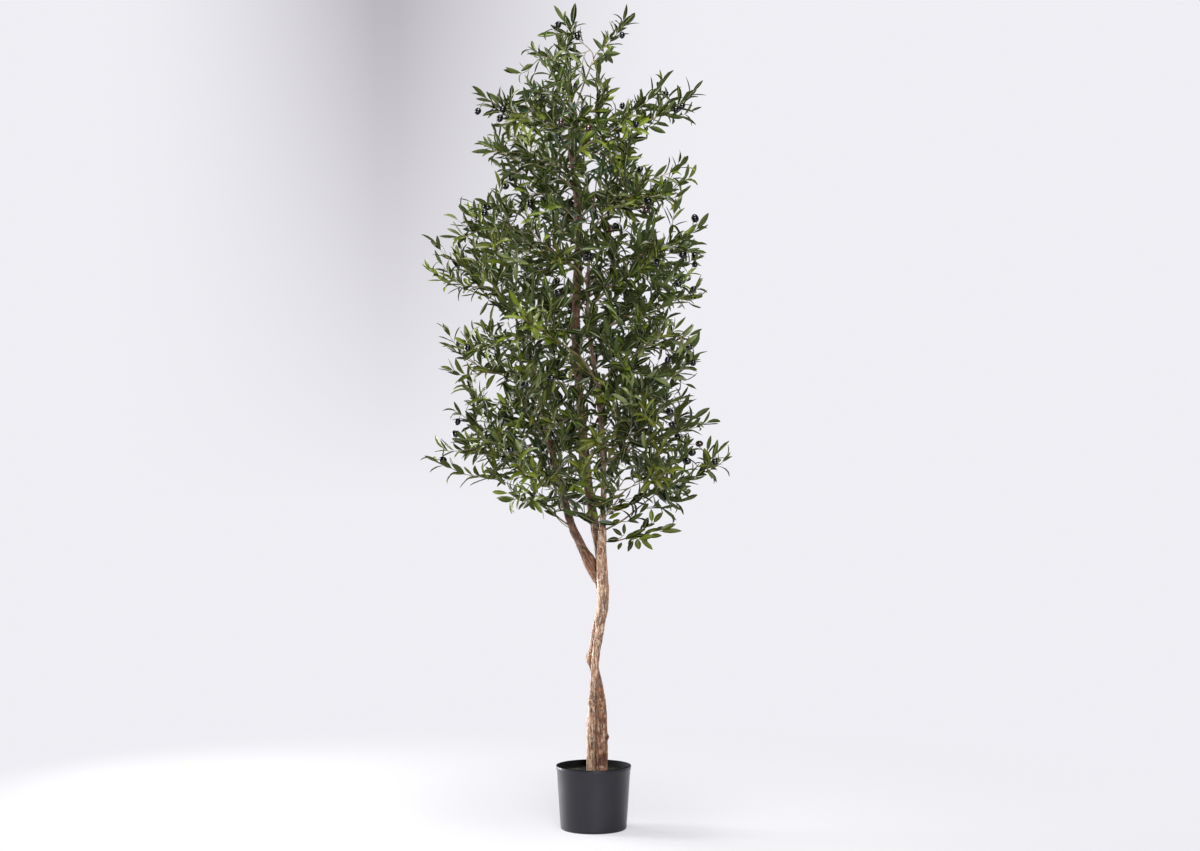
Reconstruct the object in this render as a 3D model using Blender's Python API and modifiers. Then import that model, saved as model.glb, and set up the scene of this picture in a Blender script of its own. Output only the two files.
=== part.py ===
"""An artificial olive tree, eight feet tall, in a plain nursery pot.

Two wooden stems wind round each other, rise from a filled pot and end in
three leaders. Each mass of foliage is one closed lobe that starts on a leader.
Metres, +Z up, front towards -Y, origin in the middle of the pot's flat foot.
"""

import math

import bmesh
import bpy
from mathutils import Vector, noise
from mathutils.bvhtree import BVHTree

GAP = 0.0003  # clearance between pieces that touch
WELD = 0.00001  # points closer than this are one point

# Pot: a thin moulded wall, its outer side widening from the foot to a plain rim.
POT_HEIGHT = 0.189
POT_RIM_RADIUS = 0.111
POT_FOOT_RADIUS = 0.0977
POT_FOOT_ROUND = 0.006
POT_WALL = 0.003
RIM_BAND_DEPTH = 0.011
RIM_BAND_STEP = 0.0012
POT_STEPS = 32
ROUND_STEPS = 3

# Fill: the weighted core that holds the stems, with its top below the rim.
FILL_TOP = 0.168
FILL_DOME = 0.004
FILL_FLAT_RADIUS = 0.055

# Stems and leaders: x, y, z and radius at the places where each one bends.
STEM_FOOT = FILL_TOP + GAP
TRUNK_FRONT = (
    (-0.0095, -0.006, STEM_FOOT, 0.0120),
    (-0.0080, -0.008, 0.280, 0.0113),
    (-0.0010, -0.014, 0.380, 0.0117),
    (0.0030, -0.015, 0.470, 0.0112),
    (0.0090, -0.014, 0.530, 0.0105),
    (0.0265, -0.010, 0.650, 0.0140),
    (0.0280, -0.010, 0.705, 0.0145),
    (0.0245, -0.012, 0.810, 0.0120),
    (0.0280, -0.022, 0.950, 0.0098),
    (0.0300, -0.038, 1.100, 0.0090),
    (0.0100, -0.055, 1.310, 0.0095),
    (-0.0155, -0.060, 1.500, 0.0095),
    (-0.0145, -0.055, 1.660, 0.0085),
    (0.0100, -0.040, 1.930, 0.0045),
)
TRUNK_BACK = (
    (0.0232, 0.006, STEM_FOOT, 0.0173),
    (0.0240, 0.007, 0.280, 0.0150),
    (0.0218, 0.008, 0.350, 0.0138),
    (0.0155, 0.010, 0.410, 0.0135),
    (-0.0015, 0.013, 0.500, 0.0135),
    (0.0100, 0.016, 0.590, 0.0130),
    (0.0262, 0.022, 0.675, 0.0128),
    (0.0200, 0.022, 0.718, 0.0130),
    (0.0110, 0.020, 0.745, 0.0128),
)
BOUGH_LEFT = (
    (0.0110, 0.020, 0.745, 0.0126),
    (-0.0250, 0.016, 0.813, 0.0118),
    (-0.0690, 0.018, 0.908, 0.0110),
    (-0.0940, 0.024, 1.000, 0.0108),
    (-0.1380, 0.032, 1.181, 0.0112),
    (-0.1730, 0.038, 1.323, 0.0106),
    (-0.2010, 0.040, 1.409, 0.0096),
    (-0.2450, 0.036, 1.560, 0.0060),
)
BOUGH_MIDDLE = (
    (0.0185, 0.022, 0.722, 0.0105),
    (0.0170, 0.027, 0.800, 0.0112),
    (0.0050, 0.021, 0.891, 0.0118),
    (-0.0136, 0.008, 0.997, 0.0127),
    (-0.0465, 0.000, 1.330, 0.0114),
    (-0.0530, 0.004, 1.500, 0.0118),
    (-0.0430, 0.002, 1.750, 0.0125),
    (-0.0510, 0.000, 1.874, 0.0120),
    (-0.0700, 0.000, 2.030, 0.0090),
    (-0.0720, 0.000, 2.200, 0.0040),
)
PATH_STEP = 0.055  # distance between the rings of a limb
LIMB_BEVEL = 2  # this bevel gives a limb eight sides,
SMOOTH_ANGLE = 60  # in degrees, which still look round

# Thin side boughs: the leader each leaves, the height where it does, a point
# half way along it, its end, and its radius at the start.
SIDE_BOUGHS = {
    "bough_low_right": ("trunk_front", 0.851, (0.060, -0.020, 0.851), (0.110, -0.020, 0.866), 0.0026),
    "bough_right": ("trunk_front", 0.872, (0.084, -0.022, 0.913), (0.175, -0.012, 0.985), 0.0030),
    "bough_front_right": ("trunk_front", 0.905, (0.055, -0.070, 0.955), (0.095, -0.130, 1.010), 0.0028),
    "bough_back_right": ("bough_middle", 0.900, (0.040, 0.065, 0.960), (0.085, 0.125, 1.020), 0.0028),
    "bough_left_low": ("bough_left", 0.868, (-0.106, 0.008, 0.922), (-0.165, -0.002, 0.985), 0.0028),
    "bough_front_left": ("trunk_front", 0.876, (-0.035, -0.050, 0.927), (-0.120, -0.110, 1.010), 0.0026),
    "bough_back_left": ("bough_left", 0.930, (-0.100, 0.085, 0.980), (-0.125, 0.140, 1.030), 0.0028),
    "bough_top_right": ("bough_middle", 2.080, (-0.035, 0.004, 2.190), (0.000, 0.004, 2.280), 0.0030),
}
SIDE_BOUGH_TAPER = 0.65

# Foliage round the leaders. Each sector gives its compass angle, in degrees
# from +X towards the back, and from the bottom up the reach of every mass from
# the tree's axis and the height of its tip. A third number, where there is
# one, starts the mass that share of the way out along its own side bough.
SECTORS = {
    "left": (180, ((0.505, 1.105, 0.20), (0.435, 1.250), (0.450, 1.465), (0.510, 1.670),
                   (0.445, 1.820), (0.325, 2.035), (0.360, 2.190))),
    "right": (0, ((0.420, 1.110, 0.26), (0.320, 1.225), (0.315, 1.405), (0.332, 1.620),
                  (0.340, 1.795), (0.308, 1.940), (0.295, 2.170))),
    "front_left": (238, ((0.430, 1.100, 0.24), (0.420, 1.310), (0.430, 1.540), (0.370, 1.770),
                         (0.290, 1.990))),
    "front_right": (302, ((0.420, 1.070, 0.24), (0.410, 1.270), (0.400, 1.480), (0.370, 1.700),
                          (0.310, 1.910))),
    "back_right": (57, ((0.430, 1.090, 0.26), (0.420, 1.300), (0.400, 1.520), (0.380, 1.740),
                        (0.290, 1.960))),
    "back_left": (124, ((0.440, 1.080, 0.26), (0.430, 1.280), (0.440, 1.490), (0.390, 1.710),
                        (0.300, 1.930))),
}
MASS_RISE = 0.105  # how far a tip stands above its root
MASS_HALF_WIDTH = 0.150
MASS_HALF_DEPTH = 0.094
MASS_REACH = 0.400  # the reach at which a mass has just that width
MASS_SHRINK = 0.30  # how much smaller the masses are at the top of the crown
CROWN_FOOT = 0.95
FRONT_LEADER_TOP = 1.80  # masses above this all start on the middle leader

# Masses that end a bough or a leader: root, tip, half width and half depth.
END_MASSES = {
    "low_right": ((0.048, -0.020, 0.856), (0.262, -0.020, 0.894), 0.075, 0.046),
    "upper_left": ((-0.072, 0.000, 2.140), (-0.208, 0.000, 2.320), 0.075, 0.056),
    "upper_right": ((-0.050, 0.000, 2.000), (0.070, -0.010, 2.230), 0.105, 0.080),
    "upper_front": ((-0.065, -0.010, 2.000), (-0.060, -0.225, 2.170), 0.115, 0.080),
    "upper_back": ((-0.065, 0.010, 2.000), (-0.050, 0.235, 2.155), 0.120, 0.080),
    "top_right": ((-0.040, 0.004, 2.235), (0.112, 0.004, 2.402), 0.060, 0.048),
    "top": ((-0.074, 0.000, 2.165), (-0.104, 0.000, 2.440), 0.072, 0.064),
}

LOBE_SEGMENTS = 10
LOBE_RINGS = 6
LOBE_SWELL = 0.14  # a lobe is fuller towards its tip,
LOBE_POINT = 0.26  # which itself is drawn in
LOBE_UNEVEN = 0.30
LOBE_BUMPS = 1.7  # noise cells across a lobe's half width
LOBE_SEED_STEP = 9.0  # keeps the noise of one lobe apart from the next
TRIM_SHARE = 0.7  # how much of the gap each of two lobes that meet gives up

COLOURS = {
    "pot": (0.054, 0.054, 0.061, 0.55),
    "fill": (0.020, 0.024, 0.014, 0.95),
    "stem": (0.420, 0.270, 0.165, 0.80),
    "leaf": (0.075, 0.125, 0.045, 0.60),
}


def clear_scene():
    for scene_object in list(bpy.data.objects):
        bpy.data.objects.remove(scene_object, do_unlink=True)


def make_collection(name):
    collection = bpy.data.collections.new(name)
    bpy.context.scene.collection.children.link(collection)
    return collection


def make_material(name, kind):
    red, green, blue, roughness = COLOURS[kind]
    material = bpy.data.materials.new(name)
    material.use_nodes = True
    shader = material.node_tree.nodes["Principled BSDF"]
    shader.inputs["Base Color"].default_value = (red, green, blue, 1.0)
    shader.inputs["Roughness"].default_value = roughness
    shader.inputs["Metallic"].default_value = 0.0
    return material


def add_object(name, mesh, kind, collection):
    mesh.name = name
    piece = bpy.data.objects.new(name, mesh)
    mesh.materials.clear()
    mesh.materials.append(make_material(name, kind))
    collection.objects.link(piece)
    return piece


def arc(centre_x, centre_z, radius, start, end, steps):
    """Points of an arc in the XZ plane, from one angle in degrees to another."""
    points = []
    for step in range(steps + 1):
        angle = math.radians(start + (end - start) * step / steps)
        points.append((centre_x + radius * math.cos(angle), centre_z + radius * math.sin(angle)))
    return points


def turned(name, profile, kind, collection):
    """A solid turned about Z from a profile of (radius, height) points."""
    mesh = bpy.data.meshes.new(name)
    edges = [(index, index + 1) for index in range(len(profile) - 1)]
    mesh.from_pydata([(radius, 0.0, height) for radius, height in profile], edges, [])
    piece = add_object(name, mesh, kind, collection)
    screw = piece.modifiers.new("turn", "SCREW")
    screw.axis = "Z"
    screw.steps = POT_STEPS
    screw.render_steps = POT_STEPS
    screw.use_merge_vertices = True
    screw.merge_threshold = WELD
    screw.use_smooth_shade = True
    return piece


def pot_wall_radius(height):
    """The outer radius of the pot's wall below its rim band."""
    top_radius = POT_RIM_RADIUS - RIM_BAND_STEP
    return POT_FOOT_RADIUS + (top_radius - POT_FOOT_RADIUS) * height / POT_HEIGHT


def make_pot(collection):
    rim_round = POT_WALL / 2
    band_foot = POT_HEIGHT - RIM_BAND_DEPTH
    inner_rim = POT_RIM_RADIUS - POT_WALL
    foot_centre = POT_FOOT_RADIUS - POT_FOOT_ROUND
    inner_floor = pot_wall_radius(POT_WALL) - POT_WALL - POT_FOOT_ROUND / 2
    profile = [(0.0, POT_WALL), (inner_floor, POT_WALL)]
    profile.append((pot_wall_radius(2 * POT_WALL) - POT_WALL, 2 * POT_WALL))
    profile += arc(inner_rim + rim_round, POT_HEIGHT - rim_round, rim_round, 180, 0, ROUND_STEPS)
    profile.append((POT_RIM_RADIUS, band_foot))
    profile.append((pot_wall_radius(band_foot), band_foot - RIM_BAND_STEP))
    profile += arc(foot_centre, POT_FOOT_ROUND, POT_FOOT_ROUND, 0, -90, ROUND_STEPS)
    profile.append((0.0, 0.0))
    turned("pot", profile, "pot", collection)


def make_fill(collection):
    """The core fits the pot's inner side and rises slightly round the stems."""
    floor = POT_WALL + GAP
    step_height = 2 * POT_WALL
    inner_rim = POT_RIM_RADIUS - POT_WALL
    inner_foot = pot_wall_radius(step_height) - POT_WALL
    edge_height = FILL_TOP - FILL_DOME
    side_slope = (inner_rim - inner_foot) / (POT_HEIGHT - POT_WALL / 2 - step_height)
    edge_radius = inner_foot + side_slope * (edge_height - step_height) - 2 * GAP
    foot_radius = pot_wall_radius(POT_WALL) - POT_WALL - POT_FOOT_ROUND / 2 - 2 * GAP
    profile = [
        (0.0, FILL_TOP),
        (FILL_FLAT_RADIUS, FILL_TOP),
        (edge_radius, edge_height),
        (inner_foot - 2 * GAP, step_height + GAP),
        (foot_radius, floor),
        (0.0, floor),
    ]
    turned("fill", profile, "fill", collection)


def smooth_path(stations):
    """Stations joined by a smooth curve, as (point, radius) pairs a step apart."""
    points = [Vector(station[:3]) for station in stations]
    radii = [station[3] for station in stations]
    last = len(points) - 1
    path = []
    for index in range(last):
        before = points[max(index - 1, 0)]
        start = points[index]
        end = points[index + 1]
        after = points[min(index + 2, last)]
        steps = max(1, round((end - start).length / PATH_STEP))
        for step in range(steps):
            share = step / steps
            path.append((curve_point(before, start, end, after, share),
                         radii[index] + (radii[index + 1] - radii[index]) * share))
    path.append((points[last], radii[last]))
    return path


def curve_point(before, start, end, after, share):
    """A point on the Catmull-Rom curve between start and end."""
    leave = (end - before) / 2
    arrive = (after - start) / 2
    squared = share * share
    cubed = squared * share
    return (start * (2 * cubed - 3 * squared + 1) + leave * (cubed - 2 * squared + share)
            + end * (3 * squared - 2 * cubed) + arrive * (cubed - squared))


def path_at_height(path, height):
    """The point where a rising path passes a height."""
    for (low, _), (high, _) in zip(path, path[1:]):
        if low.z <= height <= high.z:
            return low.lerp(high, (height - low.z) / (high.z - low.z))
    return path[-1][0].copy()


def tube_mesh(name, path, grow):
    """A closed tube along a path, its surface and its ends moved out by grow."""
    curve = bpy.data.curves.new(name, "CURVE")
    curve.dimensions = "3D"
    curve.bevel_depth = 1.0
    curve.bevel_resolution = LIMB_BEVEL
    curve.use_fill_caps = True
    spline = curve.splines.new("POLY")
    spline.points.add(len(path) - 1)
    points = [point for point, _ in path]
    first = points[0] + (points[0] - points[1]).normalized() * grow
    last = points[-1] + (points[-1] - points[-2]).normalized() * grow
    ends = {0: first, len(points) - 1: last}
    for index, (point, radius) in enumerate(path):
        spline.points[index].co = (*ends.get(index, point), 1.0)
        spline.points[index].radius = radius + grow
    holder = bpy.data.objects.new(name, curve)
    bpy.context.scene.collection.objects.link(holder)
    depsgraph = bpy.context.evaluated_depsgraph_get()
    mesh = bpy.data.meshes.new_from_object(holder.evaluated_get(depsgraph))
    bpy.data.objects.remove(holder, do_unlink=True)
    bpy.data.curves.remove(curve)
    weld(mesh)
    return mesh


def weld(mesh):
    work = bmesh.new()
    work.from_mesh(mesh)
    bmesh.ops.remove_doubles(work, verts=work.verts, dist=WELD)
    bmesh.ops.recalc_face_normals(work, faces=work.faces)
    work.to_mesh(mesh)
    work.free()


class Limb:
    """A stem or bough, with the slightly larger cutter that clears room for it."""

    def __init__(self, name, path, collection, cutters):
        self.path = path
        mesh = tube_mesh(name, path, 0.0)
        mesh.shade_smooth()
        mesh.set_sharp_from_angle(angle=math.radians(SMOOTH_ANGLE))
        self.piece = add_object(name, mesh, "stem", collection)
        room = tube_mesh(name + "_room", path, GAP)
        self.cutter = bpy.data.objects.new(name + "_room", room)
        self.cutter.hide_render = True
        self.cutter.display_type = "WIRE"
        cutters.objects.link(self.cutter)
        self.tree = mesh_tree(room)


def mesh_tree(mesh):
    work = bmesh.new()
    work.from_mesh(mesh)
    tree = BVHTree.FromBMesh(work)
    work.free()
    return tree


def clear_room(piece, limb):
    """Cuts the limb's room out of a piece that it runs into."""
    if not mesh_tree(piece.data).overlap(limb.tree):
        return
    cut = piece.modifiers.new("clear " + limb.piece.name, "BOOLEAN")
    cut.operation = "DIFFERENCE"
    cut.solver = "EXACT"
    cut.object = limb.cutter


def make_limbs(collection, cutters):
    """The stems and leaders, then the side boughs, each cut by those before it."""
    limbs = {}
    leaders = {
        "trunk_front": TRUNK_FRONT,
        "trunk_back": TRUNK_BACK,
        "bough_middle": BOUGH_MIDDLE,
        "bough_left": BOUGH_LEFT,
    }
    for name, stations in leaders.items():
        limbs[name] = Limb(name, smooth_path(stations), collection, cutters)
    for name, (leader, height, middle, end, radius) in SIDE_BOUGHS.items():
        start = path_at_height(limbs[leader].path, height)
        stations = (
            (*start, radius),
            (*middle, radius * (1 + SIDE_BOUGH_TAPER) / 2),
            (*end, radius * SIDE_BOUGH_TAPER),
        )
        limbs[name] = Limb(name, smooth_path(stations), collection, cutters)
    made = []
    for limb in limbs.values():
        for earlier in made:
            clear_room(limb.piece, earlier)
        made.append(limb)
    return limbs


class Lobe:
    """An uneven mass of foliage from a root on a limb to its tip."""

    def __init__(self, root, tip, half_width, half_depth, seed):
        self.root = root
        self.tip = tip
        self.forward = (tip - root).normalized()
        self.across = self.forward.cross(Vector((0.0, 0.0, 1.0))).normalized()
        self.up = self.across.cross(self.forward)
        self.half_length = (tip - root).length / 2
        self.half_width = half_width
        self.half_depth = half_depth
        self.seed = seed
        self.centre = (root + tip) / 2
        self.shape = self.grow_shape()

    def grow_shape(self):
        shape = bmesh.new()
        bmesh.ops.create_uvsphere(shape, u_segments=LOBE_SEGMENTS, v_segments=LOBE_RINGS, radius=1.0)
        for vert in shape.verts:
            vert.co = self.place(vert.co)
        bmesh.ops.recalc_face_normals(shape, faces=shape.faces)
        return shape

    def place(self, unit):
        """Where a point of the unit sphere, whose +Z is the tip, lies on the lobe."""
        rough = noise.noise(unit * LOBE_BUMPS + Vector((self.seed * LOBE_SEED_STEP, 0.0, 0.0)))
        drawn_in = LOBE_POINT * max(unit.z, 0.0) ** 2
        fullness = (1 + LOBE_SWELL * unit.z - drawn_in) * (1 + LOBE_UNEVEN * rough)
        return (self.centre + self.forward * (unit.z * self.half_length)
                + self.across * (unit.x * self.half_width * fullness)
                + self.up * (unit.y * self.half_depth * fullness))

    def reach_towards(self, direction):
        """How far the lobe's plain ellipsoid reaches from its centre that way."""
        along = direction.dot(self.forward) / self.half_length
        sideways = direction.dot(self.across) / self.half_width
        upward = direction.dot(self.up) / self.half_depth
        return 1 / math.sqrt(along * along + sideways * sideways + upward * upward)

    def trim_against(self, other):
        """Cuts off what lies past the plane between this lobe and another."""
        between = other.centre - self.centre
        direction = between.normalized()
        mine = self.reach_towards(direction)
        share = mine / (mine + other.reach_towards(direction))
        place = self.centre + between * share - direction * (GAP * TRIM_SHARE)
        cut = bmesh.ops.bisect_plane(
            self.shape,
            geom=self.shape.verts[:] + self.shape.edges[:] + self.shape.faces[:],
            dist=WELD,
            plane_co=place,
            plane_no=direction,
            clear_outer=True,
        )
        rim = [edge for edge in cut["geom_cut"] if isinstance(edge, bmesh.types.BMEdge)]
        if rim:
            bmesh.ops.edgenet_fill(self.shape, edges=rim)


def sector_lobes(limbs):
    """The lobes that stand round the leaders, level by level in each sector."""
    lobes = {}
    crown_height = SECTORS["left"][1][-1][1] - CROWN_FOOT
    for sector, (compass, masses) in SECTORS.items():
        outward = Vector((math.cos(math.radians(compass)), math.sin(math.radians(compass)), 0.0))
        for level, (reach, height, *start) in enumerate(masses, 1):
            tip = outward * reach + Vector((0.0, 0.0, height))
            in_front = outward.x > 0 and height < FRONT_LEADER_TOP
            leader = limbs["trunk_front" if in_front else "bough_middle"]
            root = path_at_height(leader.path, height - MASS_RISE)
            if start:
                root = root.lerp(tip, start[0])
            size = 1 - MASS_SHRINK * (height - CROWN_FOOT) / crown_height
            half_width = MASS_HALF_WIDTH * size * math.sqrt(MASS_REACH / reach)
            half_depth = MASS_HALF_DEPTH * size
            lobes[f"{sector}_{level}"] = Lobe(root, tip, half_width, half_depth, len(lobes))
    return lobes


def make_foliage(limbs, collection):
    lobes = sector_lobes(limbs)
    for name, (root, tip, half_width, half_depth) in END_MASSES.items():
        lobes[name] = Lobe(Vector(root), Vector(tip), half_width, half_depth, len(lobes))
    trees = {name: BVHTree.FromBMesh(lobe.shape) for name, lobe in lobes.items()}
    for name, lobe in lobes.items():
        for other_name, other in lobes.items():
            if name != other_name and trees[name].overlap(trees[other_name]):
                lobe.trim_against(other)
    for name, lobe in lobes.items():
        mesh = bpy.data.meshes.new(name)
        bmesh.ops.recalc_face_normals(lobe.shape, faces=lobe.shape.faces)
        lobe.shape.to_mesh(mesh)
        lobe.shape.free()
        piece = add_object("foliage_" + name, mesh, "leaf", collection)
        for limb in limbs.values():
            clear_room(piece, limb)


def main():
    clear_scene()
    tree = make_collection("potted_olive_tree")
    cutters = make_collection("cutters")
    make_pot(tree)
    make_fill(tree)
    limbs = make_limbs(tree, cutters)
    make_foliage(limbs, tree)


main()
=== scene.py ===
"""The looks of an artificial olive tree, eight feet tall, in a plain nursery pot.

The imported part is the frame. Bark is swept along its limbs, and each mass of
foliage gives way to boughs, twigs, leaves and olives that grow on from them.
Metres, +Z up, front towards -Y.
"""

import itertools
import math
from random import Random

import bmesh
import bpy
import numpy as np
from mathutils import Matrix, Vector, noise
from mathutils.bvhtree import BVHTree
from mathutils.geometry import interpolate_bezier
from mathutils.kdtree import KDTree


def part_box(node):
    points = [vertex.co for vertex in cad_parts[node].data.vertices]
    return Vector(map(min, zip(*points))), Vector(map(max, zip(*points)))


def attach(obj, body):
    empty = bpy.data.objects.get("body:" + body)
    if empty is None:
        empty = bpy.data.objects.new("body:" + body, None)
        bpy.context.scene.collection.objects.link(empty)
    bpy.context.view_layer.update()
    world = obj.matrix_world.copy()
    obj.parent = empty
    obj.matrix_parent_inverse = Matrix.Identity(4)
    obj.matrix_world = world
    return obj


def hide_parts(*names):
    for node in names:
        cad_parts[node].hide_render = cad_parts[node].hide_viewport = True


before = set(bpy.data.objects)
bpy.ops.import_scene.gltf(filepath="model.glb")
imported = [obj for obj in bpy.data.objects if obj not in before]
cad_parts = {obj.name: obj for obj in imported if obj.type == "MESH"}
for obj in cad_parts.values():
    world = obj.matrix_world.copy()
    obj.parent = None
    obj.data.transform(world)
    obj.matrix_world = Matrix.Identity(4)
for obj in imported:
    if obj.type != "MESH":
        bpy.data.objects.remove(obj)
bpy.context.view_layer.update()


def metres(table):
    """A table of millimetres, nested to any depth, in metres. Words in it stay."""
    if isinstance(table, tuple):
        return tuple(metres(entry) for entry in table)
    return table if isinstance(table, str) else table / 1000


UP = Vector((0.0, 0.0, 1.0))
WELD = 0.00001  # points closer than this are one point

# Pot: a thin moulded wall with a plain band round its rim.
POT_SIDES = 128
POT_WALL = 0.003
POT_FOOT_ROUND = 0.006
POT_CREASE = 40  # degrees
RIM_BAND_DEPTH = 0.011
RIM_BAND_STEP = 0.0012
RIM_TOP_TILT = 0.25  # where the rim faces up more than this, it has the finish of the inside, a darker copy of the plastic that is painted shade
ROUND_STEPS = 6
WALL_LEVELS = (0.98, 0.75, 0.5, 0.25)  # shares of the height of the wall below the band
POT_STOPS = ((0.30, (0.0150, 0.0143, 0.0205)), (0.70, (0.0178, 0.0170, 0.0235)))

# Fill: its top rises a little towards the stems, rough as pressed peat.
FILL_SIDES = 96
FILL_TOP_RINGS = 30
FILL_DOME = 0.004
FILL_FLAT = 0.5  # share of the radius where the dome begins to drop
FILL_ROUGH = 0.0022
FILL_LUMPS = 70  # to a metre, about
FILL_FRACTAL = (0.8, 2.0, 4)  # roughness, step and count of its layers
PEAT_STOPS = ((0.30, (0.003, 0.002, 0.0015)), (0.55, (0.010, 0.007, 0.005)), (0.80, (0.026, 0.019, 0.012)))
MOSS_COLOURS = {
    # dark and light
    "dark_moss": ((0.004, 0.007, 0.003), (0.017, 0.024, 0.009)),
    "moss_strand_green": ((0.007, 0.012, 0.004), (0.028, 0.039, 0.012)),
    "moss_strand_brown": ((0.012, 0.008, 0.004), (0.040, 0.029, 0.014)),
}
MOSS_CLUMPS = 46
MOSS_CLUMP_SIZE = (0.005, 0.013)
MOSS_CLUMP_SHAPE = (1.0, 0.8, 0.45)
MOSS_CLUMP_ROUGH = 0.55
MOSS_STRANDS = 900
MOSS_STRAND_SIDES = 4
MOSS_STRAND_LENGTH = (0.004, 0.011)
MOSS_STRAND_TAPER = (0.0004, 0.0002)

# Limbs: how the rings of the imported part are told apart, and the tubes along them.
RING_GAP = 0.010  # rings are further apart than this along a limb
RING_SIDES = 8
BARK_SIDES = 40
BARK_STEP = 0.004
BARK_FULL_RADIUS = 0.010  # thinner limbs have less relief
MIDDLE_LEADER_ROOT = 1.4  # how far it starts below its first ring, in gaps between its rings
THIN_LEADER_FROM = 0.55  # share of the length of a leader
THIN_LEADER_LOSS = 0.62  # share of its radius lost at the tip
FRONT_STEM_NARROWS = (0.83, 0.95, 0.78)  # from one height to another, to a share of its radius
SIDE_BOUGH_SIDES = 12
SIDE_BOUGH_STEP = 0.008
SIDE_BOUGH_FLARE = 1.15
SIDE_BOUGH_LUMPS = (0.25, 90)  # share of the radius, and how many to a metre
KNOTS = {
    # by limb: height, compass angle, width and how far each stands out
    "front_stem": (
        (0.28, 5, 0.034, 0.0036), (0.35, 5, 0.034, 0.0036), (0.72, 10, 0.06, 0.002),
        (0.8, 190, 0.08, 0.002), (0.38, 190, 0.009, 0.0045), (0.618, 200, 0.01, 0.004),
        (0.262, -75, 0.01, 0.003), (0.205, -120, 0.012, 0.002), (0.76, -40, 0.012, 0.0018),
    ),
    "back_stem": (
        (0.195, 185, 0.036, 0.005), (0.25, 185, 0.03, 0.005), (0.31, 185, 0.03, 0.005),
        (0.37, 185, 0.03, 0.005), (0.505, 195, 0.013, 0.0075), (0.272, -25, 0.006, 0.006),
        (0.33, -60, 0.012, 0.002), (0.766, 200, 0.03, 0.0055), (0.796, -10, 0.017, 0.0085),
        (0.87, 200, 0.012, 0.003),
    ),
    "middle_leader": (
        (0.93, -70, 0.014, 0.003), (1.62, 210, 0.016, 0.004),
    ),
}
# Swellings of the bark: scale round the limb and along it, shift by the seed, and height.
BARK_LEVEL = 0.0007
BARK_SWELLINGS = ((120, 22, 7.0, 0.0014), (300, 90, 7.0, 0.0008), (30, 24, -7.0, 0.0022))
BARK_GROOVE = (82, 11, -7.0, 0.0012)
BARK_GROOVE_WIDTH = 0.10

# Looks of bark: its pale, middle and dark colour, and the height that it is shaded from.
BARKS = {
    "pale": ((0.700, 0.490, 0.358), (0.500, 0.303, 0.195), (0.290, 0.146, 0.084), 0.88),
    "brown": ((0.490, 0.252, 0.143), (0.318, 0.142, 0.077), (0.162, 0.068, 0.037), 0.68),
    "young": ((0.250, 0.200, 0.110), (0.150, 0.120, 0.062), (0.085, 0.060, 0.034), 2.4),
}
# Its mottle, blotches, scales, flecks and seams: scale round the limb and along it, detail,
# roughness and distortion.
BARK_GRAINS = (
    (78.0, 38.0, 6.0, 0.78, 0.8),
    (52.0, 27.0, 6.0, 0.76, 0.9),
    (120.0, 70.0, 6.0, 0.82, 0.5),
    (160.0, 96.0, 5.0, 0.82, 0.0),
    (62.0, 8.0, 5.0, 0.66, 1.2),
)
BARK_RED = (0.215, 0.076, 0.036)
BARK_RED_STRETCH = (0.125, 0.038, 0.018)
BARK_PALE_SCALE = (0.680, 0.550, 0.450)
BARK_DARK_FLECK = (0.070, 0.032, 0.019)
BARK_CRACK = (0.050, 0.026, 0.017)
BARK_SHADE = (0.058, 0.030, 0.018)
# painted warm light, orange, on the side of a stem that faces +X
BARK_PAINTED_WARM_LIGHT = (0.370, 0.165, 0.075)
BARK_FORK = (0.270, 0.118, 0.056)
# painted shade in the crease where the two stems meet, low down
BARK_CREASE_SHADE = (0.040, 0.020, 0.013)
# painted highlight, pale, on the side of a stem that faces -X
BARK_PAINTED_HIGHLIGHT = (0.640, 0.540, 0.450)
CREASE_SHADE_X = 0.007  # where the two stems meet, low down, and where the painted shade of their crease lies
CREASE_SHADE_FADE = (0.44, 0.36)  # the height where that line of painted shade ends
WARM_PATCH = ((-0.015, 0.004, 0.770), 0.055)  # place and size
PATCH_FADE = (1.5, 0.35)  # a patch sets in and is full this far out, in its sizes
RED_PATCHES = (
    ((0.030, -0.010, 0.205), 0.020),
    ((0.030, -0.006, 0.322), 0.012),
    ((-0.082, 0.010, 0.960), 0.040),
)

# Foliage: the masses of each piece, by the start of their names.
SPRAYS = {
    "left": "foliage_left_",
    "right": "foliage_right_",
    "front_left": "foliage_front_left_",
    "front_right": "foliage_front_right_",
    "back_left": "foliage_back_left_",
    "back_right": "foliage_back_right_",
    "crown_top": "foliage_upper_",
    "crown_tip": "foliage_top",
    "low_right": "foliage_low_right",
}
CROWN_SEED = 1
CROWN_FOOT = 0.84
POINT_STEP = 0.014
ARCH_PULL = 0.36  # how far a line keeps its first and last heading, as a share of its length
WOBBLE_SCALE = 18
WOBBLE_SHIFT = 50  # lines take their wobble from places up to this far apart

# Boughs: where they leave a limb, and how they grow to the tip of a mass.
BOUGH_LEAST_RISE = 0.02
BOUGH_RISE = 0.55  # the best rise for each metre outwards
BOUGH_RISE_COST = 1.5
BOUGH_TAPER = (0.0042, 0.0011)
BOUGH_GIRTH = 0.8  # boughs are no thicker than this share of their limb
BOUGH_LEAN = 0.75  # how much of its limb's heading a bough sets out with
BOUGH_LIFT = 0.30  # how much of up it ends with
BOUGH_WOBBLE = 0.006

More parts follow.
